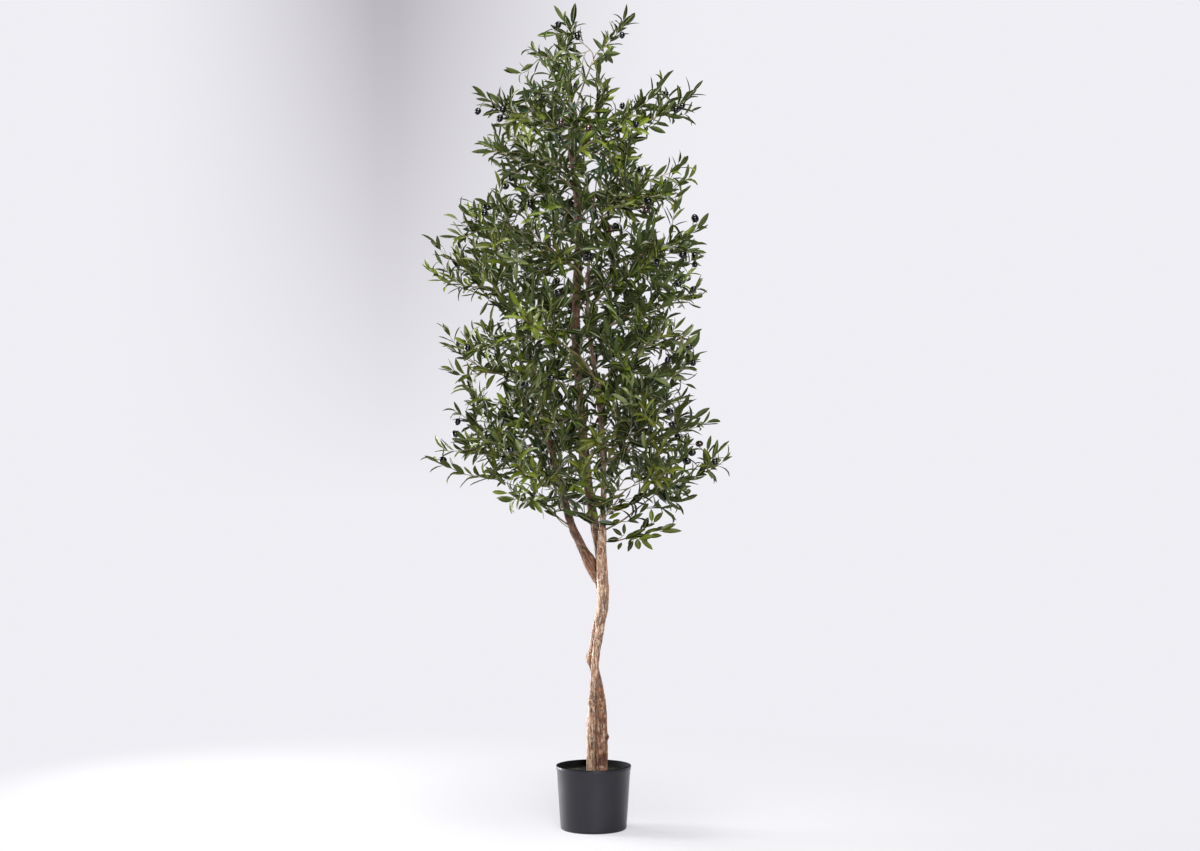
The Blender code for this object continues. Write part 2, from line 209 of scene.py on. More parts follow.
# Twigs: where they end, and how they fork from what is there.
TWIG_SIDES = 6
TWIG_TAPER = (0.0016, 0.0007)
TWIG_CELL = 0.078  # one twig ends in each cell of this size
TWIG_CELL_SPREAD = (0.05, 0.95)
TWIG_REACH = (0.085, 0.17)  # how far outside a mass twigs end at the axis, and the loss outwards
FULL_REACH = 0.12  # the same in full spots
TWIG_LEAN = 0.9  # how much of its line's heading a twig sets out with
TWIG_OUT = 0.35  # how much of outwards and of up it ends with
TWIG_LIFT = 0.60
TWIG_WOBBLE = 0.004
BOX_MARGIN = 0.022
HIGHEST_END = 2.386  # no twig ends above this, so that its last leaf is the tip of the crown
THIN_FROM = 2.13
THIN_RATE = 2.6
CROWN_UNDERSIDE = (0.90, 0.24)  # height of the lowest twig ends at the axis, and its rise outwards
FORK_REACH = (0.050, 0.30)
FORK_BEFORE = 0.80  # twigs leave a line before this share of its length
FORK_TURN_COST = 1.9  # a fork costs its length times this less the cosine of its turn

# Leaves: their shape, their places on a twig and how they are held.
LEAF_LENGTH = (0.047, 0.071)
LEAF_SLENDER = 0.238  # width as a share of length
LEAF_WIDTHS = (0.80, 1.20)
LEAF_SEGMENTS = 6
LEAF_OUTLINE = (
    (0.00, 0.07), (0.08, 0.12), (0.25, 0.72), (0.48, 1.00), (0.72, 0.84), (0.90, 0.40), (1.00, 0.00),
)
LEAF_RIB = 0.13  # half width of the pale midrib, as a share of the leaf's
LEAF_FOLD = 0.34  # how far the edges stand above the midrib
LEAF_THICK = 0.12
LEAF_CREASE = 48  # degrees, for leaves and olives
LEAF_PAIR_STEP = 0.0245
LEAF_PAIR_SPREAD = (0.85, 1.15)
LEAF_PAIR_TURN = 0.35
LEAF_OVERHANG = 0.034  # twigs stop this far inside a mass, so that leaves end at it
LEAFY_LENGTH = 0.085
LEAFY_SHARE = 0.60
LEAFLESS_FOOT = 0.012
LEAFLESS_END = 0.004
LEAF_RISE = 0.16
LEAF_ANGLES = (28, 56)  # degrees from the twig, at its foot
LEAF_CLOSING = 12  # degrees less at its end
TIP_LEAF_ANGLES = (4, 14)
LEAF_ROLL = 0.25
LEAF_SKY = (0.0, 0.7)  # how much of up is in the way it faces
LEAF_SHRINK = 0.22
LEAF_BEND = (-0.60, 0.55)  # mean and spread, as for the twist
LEAF_TWIST = (0.0, 0.45)
STRAY_TINT = 0.10
LEAF_COLOURS = {
    "deep": (0.006, 0.012, 0.001),
    "mid": (0.022, 0.038, 0.002),
    "olive": (0.062, 0.073, 0.006),
    "teal": (0.010, 0.028, 0.015),
    "young": (0.094, 0.130, 0.006),
    "silver": (0.098, 0.118, 0.044),
}
RIB_COLOUR = (0.155, 0.165, 0.045)
UNDER_COLOUR = (0.046, 0.062, 0.014)
TINTS = tuple(LEAF_COLOURS)
TINT_WEIGHTS = (47, 20, 14, 7, 6, 6)
OUTER_TINT_WEIGHTS = (22, 22, 24, 4, 16, 12)
OUTSIDE = (0.16, 0.34)  # from here to here, away from the axis, the paler tints take over

# Olives, on short stalks.
OLIVE_LENGTH = 0.025
OLIVE_WIDTH = 0.020
OLIVE_SIZES = (0.88, 1.10)
OLIVE_CHANCE = 0.024
OLIVES_BEHIND = 0.04  # further back than this they are dealt at random
OLIVE_REACH = 0.028
OLIVE_LEAD = 0.014  # how far the seen ones hang in front of their twigs
OLIVE_BROWN_CHANCE = 0.12
OLIVE_FORWARD = 0.35  # how much of the twig's heading is in its hang
OLIVE_SAG = (0.1, 0.7)
OLIVE_ENDS = (0.14, 0.04)  # depth of the dimple and length of the point, as shares of half its length
STALK_LENGTH = (0.018, 0.026)
STALK_BEND = 0.4  # share of its length
STALK_TAPER = (0.0009, 0.0011)
# Where olives show from the front: across and up.
SEEN_OLIVES = metres((
    (-105, 2378), (-49, 2345), (84, 2348), (-342, 2123), (-268, 2129), (-277, 2102), (212, 2173),
    (244, 2129), (262, 2138), (84, 2138), (126, 2084), (-14, 2073), (-105, 2043), (-97, 2090),
    (-242, 1927), (-259, 1901), (137, 1951), (161, 1859), (155, 1833), (-322, 1821), (-316, 1839),
    (-188, 1850), (49, 1773), (66, 1782), (300, 1806), (300, 1696), (265, 1699), (300, 1670), (188, 1676),
    (-14, 1696), (-108, 1622), (-105, 1587), (250, 1613), (294, 1596), (-387, 1439), (-372, 1424),
    (-185, 1394), (294, 1379), (283, 1427), (220, 1388), (-203, 1314), (-126, 1332), (-402, 1205),
    (-408, 1169), (-446, 1092), (-245, 1122), (-265, 1095), (-129, 1086), (232, 1196), (226, 1234),
    (312, 1140), (292, 1113), (277, 1089), (360, 1086), (-259, 1344),
))

# The spray below the crown on the right: its stems, then each leaf from foot to tip, seen from the
# front, with its width and tint.
LOW_SPRAY_DEPTHS = (-0.032, -0.056)  # of the spray, and of the leaves in front of the stem
LOW_SPRAY_TAPER = (0.0015, 0.0008)
STEM_SIDE = 0.060  # leaves whose foot is nearer the middle than this hang in front of the stem
LOW_SPRAY_STEMS = metres((
    ((96, 860), (118, 860), (140, 866), (167, 880), (197, 885)),
    ((108, 860), (137, 885), (161, 897), (174, 911)),
    ((60, 851), (78, 862), (90, 872)),
))
LOW_SPRAY_LEAVES = metres((
    (78, 860, 40, 857, 15, "deep"), (86, 868, 56, 891, 14, "deep"), (90, 871, 91, 906, 12, "deep"),
    (84, 850, 72, 828, 15, "mid"), (118, 857, 102, 821, 15, "deep"), (128, 862, 134, 828, 20, "olive"),
    (138, 858, 175, 828, 18, "young"), (130, 858, 176, 872, 18, "young"),
    (160, 864, 201, 872, 19, "olive"), (96, 857, 152, 895, 19, "mid"), (100, 862, 128, 878, 13, "mid"),
    (148, 886, 159, 924, 18, "deep"), (172, 908, 170, 948, 15, "young"), (176, 906, 203, 939, 18, "olive"),
    (150, 893, 181, 907, 11, "deep"), (148, 879, 210, 892, 16, "olive"), (196, 885, 243, 905, 17, "olive"),
    (194, 882, 261, 884, 17, "olive"), (92, 858, 118, 880, 11, "mid"), (106, 856, 142, 869, 12, "olive"),
    (112, 862, 103, 840, 10, "deep"), (122, 868, 152, 873, 11, "deep"), (146, 870, 174, 883, 12, "deep"),
    (137, 884, 150, 907, 10, "mid"), (180, 884, 206, 898, 10, "deep"), (148, 866, 158, 846, 11, "mid"),
    (10, 911, 66, 905, 18, "teal"), (10, 905, -55, 941, 21, "deep"), (39, 938, 53, 980, 18, "mid"),
    (28, 943, 0, 980, 19, "deep"), (42, 918, 80, 938, 16, "young"), (51, 906, 79, 916, 14, "mid"),
    (14, 920, -4, 942, 14, "young"), (10, 960, -20, 978, 20, "deep"), (51, 943, 110, 970, 18, "olive"),
    (30, 925, 24, 960, 15, "mid"),
))
# Thin twigs that show between the stems, each from the stem nearest to its first point.
LOW_TWIGS = metres((
    ((-70, 10, 876), (-94, 0, 906), (-132, -10, 950), (-170, -15, 1000)),
    ((13, -30, 873), (-5, -45, 908), (-55, -60, 938), (-130, -70, 968)),
    ((-46, 20, 953), (-70, 0, 983), (-111, -15, 1024), (-160, -20, 1060)),
    ((40, -30, 876), (72, -45, 908), (108, -50, 914), (137, -55, 938), (167, -55, 956),
     (197, -55, 953), (212, -55, 941)),
    ((10, -35, 905), (50, -60, 950), (90, -75, 975), (150, -85, 990)),
    ((25, -35, 925), (45, -75, 960), (60, -100, 1010)),
    ((25, -35, 945), (5, -70, 985), (-20, -95, 1040)),
    ((25, -35, 935), (75, -60, 945), (125, -80, 972)),
))
# Where the crown is full beyond its masses, and where the sky shows: across, up and radius, seen
# from the front, so at any depth.
FULL_SPOTS = metres((
    (-395, 1695, 60), (-290, 1690, 75), (-280, 1820, 60), (-310, 1140, 55), (55, 2020, 55),
    (-340, 1420, 40), (-360, 1250, 30), (100, 1810, 40), (250, 1690, 55), (240, 1420, 45), (150, 1760, 50),
    (-130, 2180, 45), (-240, 2100, 45), (-105, 2290, 40), (-182, 2206, 35), (-254, 1993, 35),
    (95, 1990, 30), (244, 1921, 30), (-396, 1317, 40), (-90, 2360, 35), (30, 2330, 30), (-385, 1700, 30),
    (100, 1765, 35),
))
OPEN_SPOTS = metres((
    (185, 2000, 65), (250, 2065, 50), (-254, 1068, 35), (-254, 1329, 30), (-325, 1329, 28),
    (-254, 1494, 32), (173, 1921, 25), (250, 930, 35), (-325, 1145, 45), (-396, 1424, 30), (173, 1424, 35),
    (226, 1779, 40), (-40, 2135, 35), (220, 1210, 40), (-254, 2206, 35), (-340, 2180, 40),
    (-190, 2285, 40), (-370, 1975, 60), (265, 1530, 50), (-450, 1600, 40), (-325, 1565, 40),
    (-330, 1510, 30), (340, 1460, 50), (310, 1280, 45), (-410, 1220, 40), (-400, 1060, 65),
    (-200, 1020, 45), (-330, 1000, 55), (75, 2240, 50), (-20, 2220, 30), (105, 1015, 60), (380, 1170, 50),
    (330, 990, 60), (-10, 2400, 45), (115, 2430, 45), (320, 1930, 50), (250, 1865, 35), (335, 1790, 45),
    (300, 2220, 30), (165, 2320, 45), (-290, 1280, 35), (30, 990, 35),
))

# Stage: floor, air, soft boxes and camera.
STAGE_RADIUS = 30.0
STAGE_SIDES = 96
FLOOR_COLOUR = (0.556, 0.552, 0.560)
FLOOR_FADE = (0.10, 2.4)  # distances from the pot's axis
FLOOR_GLOW = 0.56  # share of the air's colour in the floor as it is seen near the pot
FLOOR_BOUNCE = (0.34, 0.34, 0.33)
AIR_COLOUR = (0.868, 0.858, 0.903)
AIR_SHADE = (0.490, 0.475, 0.515)
AIR_LIGHT = 0.03
# The air gets greyer as the view's heading goes from the first to the second of each pair.
AIR_SHADE_UP = (-0.033, 0.19)
AIR_SHADE_LEFT = (0.05, -0.09)
AIR_SHADE_FAR_LEFT = (-0.22, -0.10)
AIR_SHADE_POWER = 1.8
SOFT_BOXES = {
    # place, what each points at, width, height and power in watts
    "key_left": ((-4.3, 0.9, 2.9), (0.0, 0.0, 1.3), 1.4, 1.8, 300.0),
    "fill_front": ((0.9, -5.3, 2.2), (0.0, 0.0, 1.1), 1.4, 1.8, 300.0),
    "top": ((0.2, -1.2, 4.6), (0.0, 0.0, 1.4), 1.2, 1.2, 180.0),
    "back_left": ((-3.6, 2.6, 2.0), (0.0, 0.0, 1.4), 2.6, 2.6, 90.0),
    "low_left": ((-2.1, 1.5, 0.6), (0.0, 0.0, 0.1), 1.1, 1.1, 95.0),
    "back_right": ((3.4, 2.6, 1.4), (0.0, 0.0, 0.8), 2.0, 2.0, 60.0),
}
CAMERA_PLACE = (0.019, -6.517, 1.194)
CAMERA_LENS = 66.0


def add_object(name, data):
    made = bpy.data.objects.new(name, data)
    bpy.context.scene.collection.objects.link(made)
    return made


def operator(operation, reflected=False):
    """A method of Value that adds a Math node."""
    def method(self, other=0.0):
        first, second = (other, self) if reflected else (self, other)
        outputs = self.nodes.add("Math", {"operation": operation}, {0: first, 1: second})
        return Value(self.nodes, outputs[0])
    return method


class Value:
    """A number that varies over a surface; arithmetic on it adds Math nodes."""

    def __init__(self, nodes, socket):
        self.nodes = nodes
        self.socket = socket

    __add__ = __radd__ = operator("ADD")
    __sub__ = operator("SUBTRACT")
    __rsub__ = operator("SUBTRACT", reflected=True)
    __mul__ = __rmul__ = operator("MULTIPLY")
    __pow__ = operator("POWER")
    __abs__ = operator("ABSOLUTE")


class Nodes:
    """The nodes of a material or a world."""

    def __init__(self, tree):
        self.tree = tree

    def add(self, kind, settings=None, inputs=None):
        """Adds a node: its settings first, then what each socket holds or is linked to.

        Returns its outputs.
        """
        node = self.tree.nodes.new("ShaderNode" + kind)
        for setting, value in (settings or {}).items():
            if setting == "stops":
                self.set_stops(node.color_ramp, value)
            else:
                setattr(node, setting, value)
        for socket, value in (inputs or {}).items():
            self.feed(node.inputs[socket], value)
        return node.outputs

    def set_stops(self, ramp, stops):
        while len(ramp.elements) < len(stops):
            ramp.elements.new(1.0)
        for element, (place, colour) in zip(ramp.elements, stops):
            element.position = place
            element.color = (*colour, 1.0)

    def feed(self, socket, value):
        if isinstance(value, Value):
            value = value.socket
        if isinstance(value, bpy.types.NodeSocket):
            self.tree.links.new(value, socket)
        elif socket.type == "RGBA":
            socket.default_value = (*value, 1.0)
        else:
            socket.default_value = value

    def parts(self, vector):
        return [Value(self, output) for output in self.add("SeparateXYZ", None, {0: vector})]

    def band(self, value, low, high, curve="SMOOTHSTEP"):
        """0 below low, 1 above high, and smooth between, or straight with the curve LINEAR."""
        settings = {"interpolation_type": curve}
        outputs = self.add("MapRange", settings, {0: value, 1: low, 2: high, 3: 0.0, 4: 1.0})
        return Value(self, outputs[0])

    def mix(self, share, first, second):
        settings = {"data_type": "RGBA", "clamp_factor": True}
        return self.add("Mix", settings, {0: share, 6: first, 7: second})[2]

    def mix_shaders(self, share, first, second):
        return self.add("MixShader", None, {0: share, 1: first, 2: second})[0]

    def show(self, shader):
        """Makes a shader what the tree shows."""
        kind = "World Output" if "World Output" in self.tree.nodes else "Material Output"
        self.feed(self.tree.nodes[kind].inputs["Surface"], shader)


class Finish(Nodes):
    """A material being made."""

    def __init__(self, name, colour, roughness, **shader_values):
        self.material = bpy.data.materials.new(name)
        self.material.use_nodes = True
        super().__init__(self.material.node_tree)
        self.shader = self.tree.nodes["Principled BSDF"]
        values = {"Base_Color": colour, "Roughness": roughness, **shader_values}
        for socket, value in values.items():
            self.set(socket.replace("_", " "), value)

    def set(self, socket, value):
        self.feed(self.shader.inputs[socket], value)

    def place(self):
        """The place on the piece, in the row frame."""
        return self.add("TexCoord")["Object"]

    def noise(self, place, scale, detail=2.0, rough=0.5, distortion=0.0):
        inputs = {"Vector": place, "Scale": scale, "Detail": detail, "Roughness": rough,
                  "Distortion": distortion}
        return Value(self, self.add("TexNoise", None, inputs)[0])

    def grain(self, around, lengthwise, detail, rough, distortion):
        """Noise with one scale round a limb and another along it."""
        place = self.add("Attribute", {"attribute_name": "bark_place"})["Vector"]
        inputs = {"Vector": place, "Scale": (around, around, lengthwise)}
        stretched = self.add("Mapping", None, inputs)[0]
        return self.noise(stretched, 1.0, detail, rough, distortion)

    def near(self, place, centre, size):
        """1 near the centre of a patch and 0 away from it."""
        outputs = self.add("VectorMath", {"operation": "DISTANCE"}, {0: place, 1: centre})
        return self.band(outputs["Value"], *(size * share for share in PATCH_FADE))

    def ramp(self, value, stops):
        return self.add("ValToRGB", {"stops": stops}, {0: value})[0]

    def bump(self, height, distance, strength=1.0):
        inputs = {"Height": height, "Distance": distance, "Strength": strength}
        self.set("Normal", self.add("Bump", None, inputs)[0])


def pot_plastic():
    finish = Finish("charcoal_plastic", (0.016, 0.0155, 0.022), 0.3, Specular_IOR_Level=0.30)
    place = finish.place()
    cloud = finish.noise(place, 9.0, 4.0)
    grain = finish.noise(place, 1400.0)
    finish.set("Base Color", finish.ramp(cloud, POT_STOPS))
    finish.set("Roughness", 0.26 + 0.05 * cloud)
    finish.bump(grain + 0.6 * cloud, 0.00006, 0.20)
    return finish.material


def peat():
    finish = Finish("peat_and_glue", (0.012, 0.012, 0.009), 0.95)
    lump = finish.noise(finish.place(), 130.0, 6.0, 0.7)
    finish.set("Base Color", finish.ramp(lump, PEAT_STOPS))
    finish.set("Roughness", 0.75 + 0.2 * lump)
    finish.bump(lump, 0.003)
    return finish.material


def moss(name):
    dark, light = MOSS_COLOURS[name]
    finish = Finish(name, dark, 0.9)
    shade = finish.noise(finish.place(), 240.0, 4.0, 0.65)
    finish.set("Base Color", finish.ramp(shade, ((0.35, dark), (0.70, light))))
    finish.bump(shade, 0.0015)
    return finish.material


def bark(name, pale, middle, dark, shade_from):
    """Wood with its bark rubbed thin: mottled, flecked and cracked, redder in patches, with painted shade
    high up, near the foot and in the crease between the stems, a painted pale highlight on the side facing
    -X and painted warm light on the side facing +X.
    """
    finish = Finish(name, middle, 0.8)
    mottle, blotch, scale, fleck, seam = (finish.grain(*grain) for grain in BARK_GRAINS)
    place = finish.place()
    across, _, height = finish.parts(place)
    # which way the surface faces along X, for the painted highlight and the painted warm light
    facing = finish.parts(finish.add("NewGeometry")["Normal"])[0]
    crack = 1.0 - finish.band(abs(seam - 0.5), 0.003, 0.020)
    warm = finish.band(finish.near(place, *WARM_PATCH) + 0.6 * scale, 0.75, 1.05)
    patch = finish.near(place, *RED_PATCHES[0])
    for red_patch in RED_PATCHES[1:]:
        patch = patch + finish.near(place, *red_patch)
    ragged = finish.band(patch + 0.9 * blotch, 0.75, 1.10)
    # painted shade along the crease where the two stems meet
    from_crease = abs(across + 0.022 * (mottle - 0.5) - CREASE_SHADE_X)
    crease_shade = finish.band(from_crease, 0.0045, 0.0012) * finish.band(height, *CREASE_SHADE_FADE)
    # painted highlight on the side facing -X, below about 0.9 m
    left = finish.band(facing, -0.72, -0.94) * finish.band(height, 0.98, 0.90)
    # painted warm light on the side facing +X, below about 0.8 m
    right = finish.band(facing, 0.50, 0.86) * finish.band(height, 0.90, 0.80)
    coats = (
        (warm * 0.85, BARK_FORK),
        (finish.band(blotch, 0.53, 0.56) * 0.78, BARK_RED),
        (finish.band(scale, 0.54, 0.58) * (0.85 - 0.55 * warm), BARK_PALE_SCALE),
        (finish.band(fleck, 0.55, 0.60) * 0.80, BARK_DARK_FLECK),
        (ragged * 0.75, BARK_RED_STRETCH),
        (crack * 0.80, BARK_CRACK),
        # painted shade in the crease between the stems
        (crease_shade * finish.band(scale, 0.42, 0.50) * 0.85, BARK_CREASE_SHADE),
        # painted highlight on the side facing -X
        (left * finish.band(blotch, 0.42, 0.50) * 0.70, BARK_PAINTED_HIGHLIGHT),
        # painted warm light on the side facing +X
        (right * finish.band(mottle, 0.44, 0.54) * 0.60, BARK_PAINTED_WARM_LIGHT),
        # painted shade: darker high up in the crown, and a little near the foot
        (finish.band(height, shade_from, shade_from + 0.20) * 0.66, BARK_SHADE),
        (finish.band(height, 0.45, 0.25) * 0.13, BARK_SHADE),
    )
    wood = finish.ramp(mottle, ((0.39, dark), (0.49, middle), (0.57, pale)))
    for share, colour in coats:
        wood = finish.mix(share, wood, colour)
    finish.set("Base Color", wood)
    finish.set("Roughness", 0.66 + 0.25 * mottle)
    finish.bump(mottle + 0.8 * scale + 0.5 * fleck - 0.9 * crack, 0.0038)
    return finish.material


def add_piece(name, mesh, materials):
    """A finished piece: its mesh is in place, so its object stays at the origin."""
    mesh.name = name
    piece = add_object(name, mesh)
    for material in materials:
        mesh.materials.append(material)
    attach(piece, "root")
    return piece


def mesh_of(work):
    mesh = bpy.data.meshes.new("mesh")
    work.to_mesh(mesh)
    work.free()
    mesh.shade_smooth()
    return mesh


def arc(centre_x, centre_z, radius, start, end):
    """Points of an arc in the XZ plane, from one angle in degrees to another."""
    points = []
    for step in range(ROUND_STEPS + 1):
        angle = math.radians(start + (end - start) * step / ROUND_STEPS)
        points.append((centre_x + radius * math.cos(angle), centre_z + radius * math.sin(angle)))
    return points


def turned(profile, sides):
    """A closed shape turned about Z from a profile of (radius, height) points."""
    work = bmesh.new()
    verts = [work.verts.new((radius, 0.0, height)) for radius, height in profile]
    edges = [work.edges.new(pair) for pair in zip(verts, verts[1:])]
    bmesh.ops.spin(work, geom=verts + edges, axis=UP, cent=(0.0, 0.0, 0.0),
                   angle=math.tau, steps=sides, use_merge=True)
    bmesh.ops.remove_doubles(work, verts=work.verts, dist=WELD)
    bmesh.ops.recalc_face_normals(work, faces=work.faces)
    return work


def node_points(node):
    """The corners of a CAD node, each of them once."""
    work = bmesh.new()
    work.from_mesh(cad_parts[node].data)
    bmesh.ops.remove_doubles(work, verts=work.verts, dist=WELD)
    points = np.array([vert.co for vert in work.verts])
    work.free()
    return points


def widest(node, low, high):
    """The largest radius of a node's corners between two heights."""
    points = node_points(node)
    band = points[(points[:, 2] > low) & (points[:, 2] < high)]
    return float(np.hypot(band[:, 0], band[:, 1]).max())


def make_pot():
    """The pot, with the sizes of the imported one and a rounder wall."""
    rim_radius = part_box("pot")[1].x
    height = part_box("pot")[1].z
    foot_radius = widest("pot", POT_WALL, 2 * POT_FOOT_ROUND)
    slope = (rim_radius - RIM_BAND_STEP - foot_radius) / height
    rim_round = POT_WALL / 2
    band_foot = height - RIM_BAND_DEPTH
    levels = [band_foot * share - RIM_BAND_STEP for share in WALL_LEVELS]
    profile = [
        (0.0, POT_WALL),
        (foot_radius - POT_WALL - POT_FOOT_ROUND / 2, POT_WALL),
        (foot_radius + slope * 2 * POT_WALL - POT_WALL, 2 * POT_WALL),
        *arc(rim_radius - rim_round, height - rim_round, rim_round, 180, 0),
        *arc(rim_radius - RIM_BAND_STEP / 2, band_foot, RIM_BAND_STEP / 2, 0, -90),
        *((foot_radius + slope * level, level) for level in levels),
        *arc(foot_radius - POT_FOOT_ROUND, POT_FOOT_ROUND, POT_FOOT_ROUND, 0, -90),
        (0.0, 0.0),
    ]
    mesh = mesh_of(turned(profile, POT_SIDES))
    mesh.set_sharp_from_angle(angle=math.radians(POT_CREASE))
    # painted shade: the inside of the pot and the top of its rim get a darker copy of the plastic
    inside = Finish("pot_inside_painted_shade", (0.0045, 0.0043, 0.0048), 0.8, Specular_IOR_Level=0.1)
    pot = add_piece("nursery_pot", mesh, [pot_plastic(), inside.material])
    # faces inside the pot or on top of its rim take the painted shade
    for face in mesh.polygons:
        inwards = face.normal.x * face.center.x + face.normal.y * face.center.y < 0.0
        upwards = face.normal.z > RIM_TOP_TILT
        face.material_index = int(face.center.z > POT_WALL and (inwards or upwards))
    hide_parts("pot")


def fill_drop(share):
    """How far the filling's top has dropped at a share of its radius."""
    return FILL_DOME * max(0.0, share - FILL_FLAT) * 2


def make_fill():
    """The pressed filling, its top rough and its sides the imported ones."""
    low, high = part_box("fill")
    edge_radius = high.x
    shares = [ring / FILL_TOP_RINGS for ring in range(FILL_TOP_RINGS + 1)]
    profile = [(edge_radius * share, high.z - fill_drop(share)) for share in shares]
    profile.append((widest("fill", 0.0, POT_WALL + 0.001), low.z))
    profile.append((0.0, low.z))
    work = turned(profile, FILL_SIDES)
    for vert in work.verts:
        if vert.co.z > high.z - 2 * FILL_DOME:
            inside = 1 - (math.hypot(vert.co.x, vert.co.y) / edge_radius) ** 6
            vert.co.z += FILL_ROUGH * inside * (noise.fractal(vert.co * FILL_LUMPS, *FILL_FRACTAL) - 0.3)
    piece = add_piece("peat_filling", mesh_of(work), [peat()])
    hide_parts("fill")
    make_moss(edge_radius, high.z)


def make_moss(radius, level):
    """Cushions of dried moss on the filling, with loose strands between them."""
    rng = Random(11)
    work = bmesh.new()
    for _ in range(MOSS_CLUMPS):
        place = around_fill(rng, radius * 0.93, level)
        size = rng.uniform(*MOSS_CLUMP_SIZE)
        turn = Matrix.Rotation(rng.uniform(0, math.tau), 4, "Z")
        squash = Matrix.Diagonal((*(size * share for share in MOSS_CLUMP_SHAPE), 1.0))
        shape = Matrix.Translation(place) @ turn @ squash
        made = bmesh.ops.create_icosphere(work, subdivisions=3, radius=1.0, matrix=shape)
        for vert in made["verts"]:
            vert.co += (vert.co - place) * MOSS_CLUMP_ROUGH * noise.fractal(vert.co * 260, 0.7, 2.0, 3)
    add_piece("moss_cushions", mesh_of(work), [moss("dark_moss")])
    stems = []
    for _ in range(MOSS_STRANDS):
        place = around_fill(rng, radius * 0.95, level + 0.002)
        heading = Vector((rng.uniform(-1, 1), rng.uniform(-1, 1), rng.uniform(0.0, 0.6))).normalized()
        reach = rng.uniform(*MOSS_STRAND_LENGTH)
        middle = place + heading * reach * 0.6 + UP * reach * 0.3
        end = place + heading * reach
        stems.append(tapered([place, middle, end], MOSS_STRAND_TAPER, rng.choice((0, 0, 1))))
    strands = stem_mesh("moss_strands", stems, MOSS_STRAND_SIDES)
    finishes = [moss("moss_strand_green"), moss("moss_strand_brown")]
    add_piece("moss_strands", strands, finishes)


def around_fill(rng, radius, level):
    """A point on the filling, more often near the pot's wall."""
    distance = radius * rng.uniform(0.12, 1.0) ** 0.5
    angle = rng.uniform(0, math.tau)
    height = level - fill_drop(distance / radius)
    return Vector((distance * math.cos(angle), distance * math.sin(angle), height))


class Stem:
    """A line of points with a radius at each, and the number of its material."""

    def __init__(self, points, radii, tint=0):
        self.points = points
        self.radii = radii
        self.tint = tint


def tapered(points, ends, tint=0):
    """A stem whose radius goes evenly from one value to another."""
    start, end = ends
    last = len(points) - 1
    return Stem(points, [start + (end - start) * i / last for i in range(last + 1)], tint)


def stem_mesh(name, stems, sides):
    """All the stems as closed tubes in one mesh. Their sides are an even number, at least 4."""
    curve = bpy.data.curves.new(name, "CURVE")
    curve.dimensions = "3D"
    curve.bevel_depth = 1.0
    curve.bevel_resolution = (sides - 4) // 2
    curve.use_fill_caps = True
    for _ in range(1 + max(stem.tint for stem in stems)):
        curve.materials.append(None)
    for stem in stems:
        spline = curve.splines.new("POLY")
        spline.points.add(len(stem.points) - 1)
        spline.material_index = stem.tint
        for place, point, radius in zip(spline.points, stem.points, stem.radii):
            place.co = (*point, 1.0)
            place.radius = radius
    holder = add_object(name, curve)
    work = bmesh.new()
    work.from_mesh(holder.evaluated_get(bpy.context.evaluated_depsgraph_get()).to_mesh())
    bpy.data.objects.remove(holder)
    bpy.data.curves.remove(curve)
    bmesh.ops.remove_doubles(work, verts=work.verts, dist=WELD / 10)
    bmesh.ops.recalc_face_normals(work, faces=work.faces)
    return mesh_of(work)


def rings_of(node):
    """The middle, radius and corner count of each ring of a limb, from its foot up."""
    points = node_points(node)
    middle = points.mean(axis=0)
    axis = np.linalg.svd(points - middle, full_matrices=False)[2][0]
    axis *= 1.0 if axis[2] > 0 else -1.0
    reach = (points - middle) @ axis
    order = np.argsort(reach)
    breaks = np.where(np.diff(reach[order]) > RING_GAP)[0] + 1
    rings = []
    for ring in np.split(points[order], breaks):
        centre = ring.mean(axis=0)
        radius = float(np.linalg.norm(ring - centre, axis=1).mean())
        rings.append((Vector(centre), radius, len(ring)))
    return rings


def whole_rings(node):
    """The rings that no other limb cuts, as (middle, radius)."""
    return [(middle, radius) for middle, radius, count in rings_of(node) if count == RING_SIDES]


def heading_at(points, index):
    low = points[max(index - 1, 0)]
    high = points[min(index + 1, len(points) - 1)]
    return (high - low).normalized()


def curve_point(before, start, end, after, share):
    """A point on the Catmull-Rom curve between start and end."""
    leave = (end - before) / 2
    arrive = (after - start) / 2
    squared = share * share
    cubed = squared * share
    return (start * (2 * cubed - 3 * squared + 1) + leave * (cubed - 2 * squared + share)
            + end * (3 * squared - 2 * cubed) + arrive * (cubed - squared))


class Limb(Stem):
    """A smooth line through rings, with a point and a radius at every step."""

    def __init__(self, rings, step):
        super().__init__([], [])
        last = len(rings) - 1
        for index in range(last):
            before = rings[max(index - 1, 0)][0]
            start, start_radius = rings[index]
            end, end_radius = rings[index + 1]
            after = rings[min(index + 2, last)][0]
            steps = max(1, round((end - start).length / step))
            for count in range(steps):
                share = count / steps
                self.points.append(curve_point(before, start, end, after, share))
                self.radii.append(start_radius + (end_radius - start_radius) * share)
        self.points.append(rings[-1][0].copy())
        self.radii.append(rings[-1][1])

    def narrow(self, low, high, share):
        """Narrows to a share of the radius between two heights, and stays so above."""
        for index, point in enumerate(self.points):
            climbed = min(1.0, max(0.0, (point.z - low) / (high - low)))
            self.radii[index] *= 1.0 - (1.0 - share) * climbed

    def thin_tip(self):
        """The last part of a leader narrows to a twig."""
        last = len(self.radii) - 1
        for index in range(last + 1):
            share = max(0.0, (index / last - THIN_LEADER_FROM) / (1.0 - THIN_LEADER_FROM))
            self.radii[index] *= 1.0 - THIN_LEADER_LOSS * share


def relief_noise(place, seed, around, lengthwise, shift):
    x, y, z = place
    return noise.noise((x * around, y * around, z * lengthwise + seed * shift))


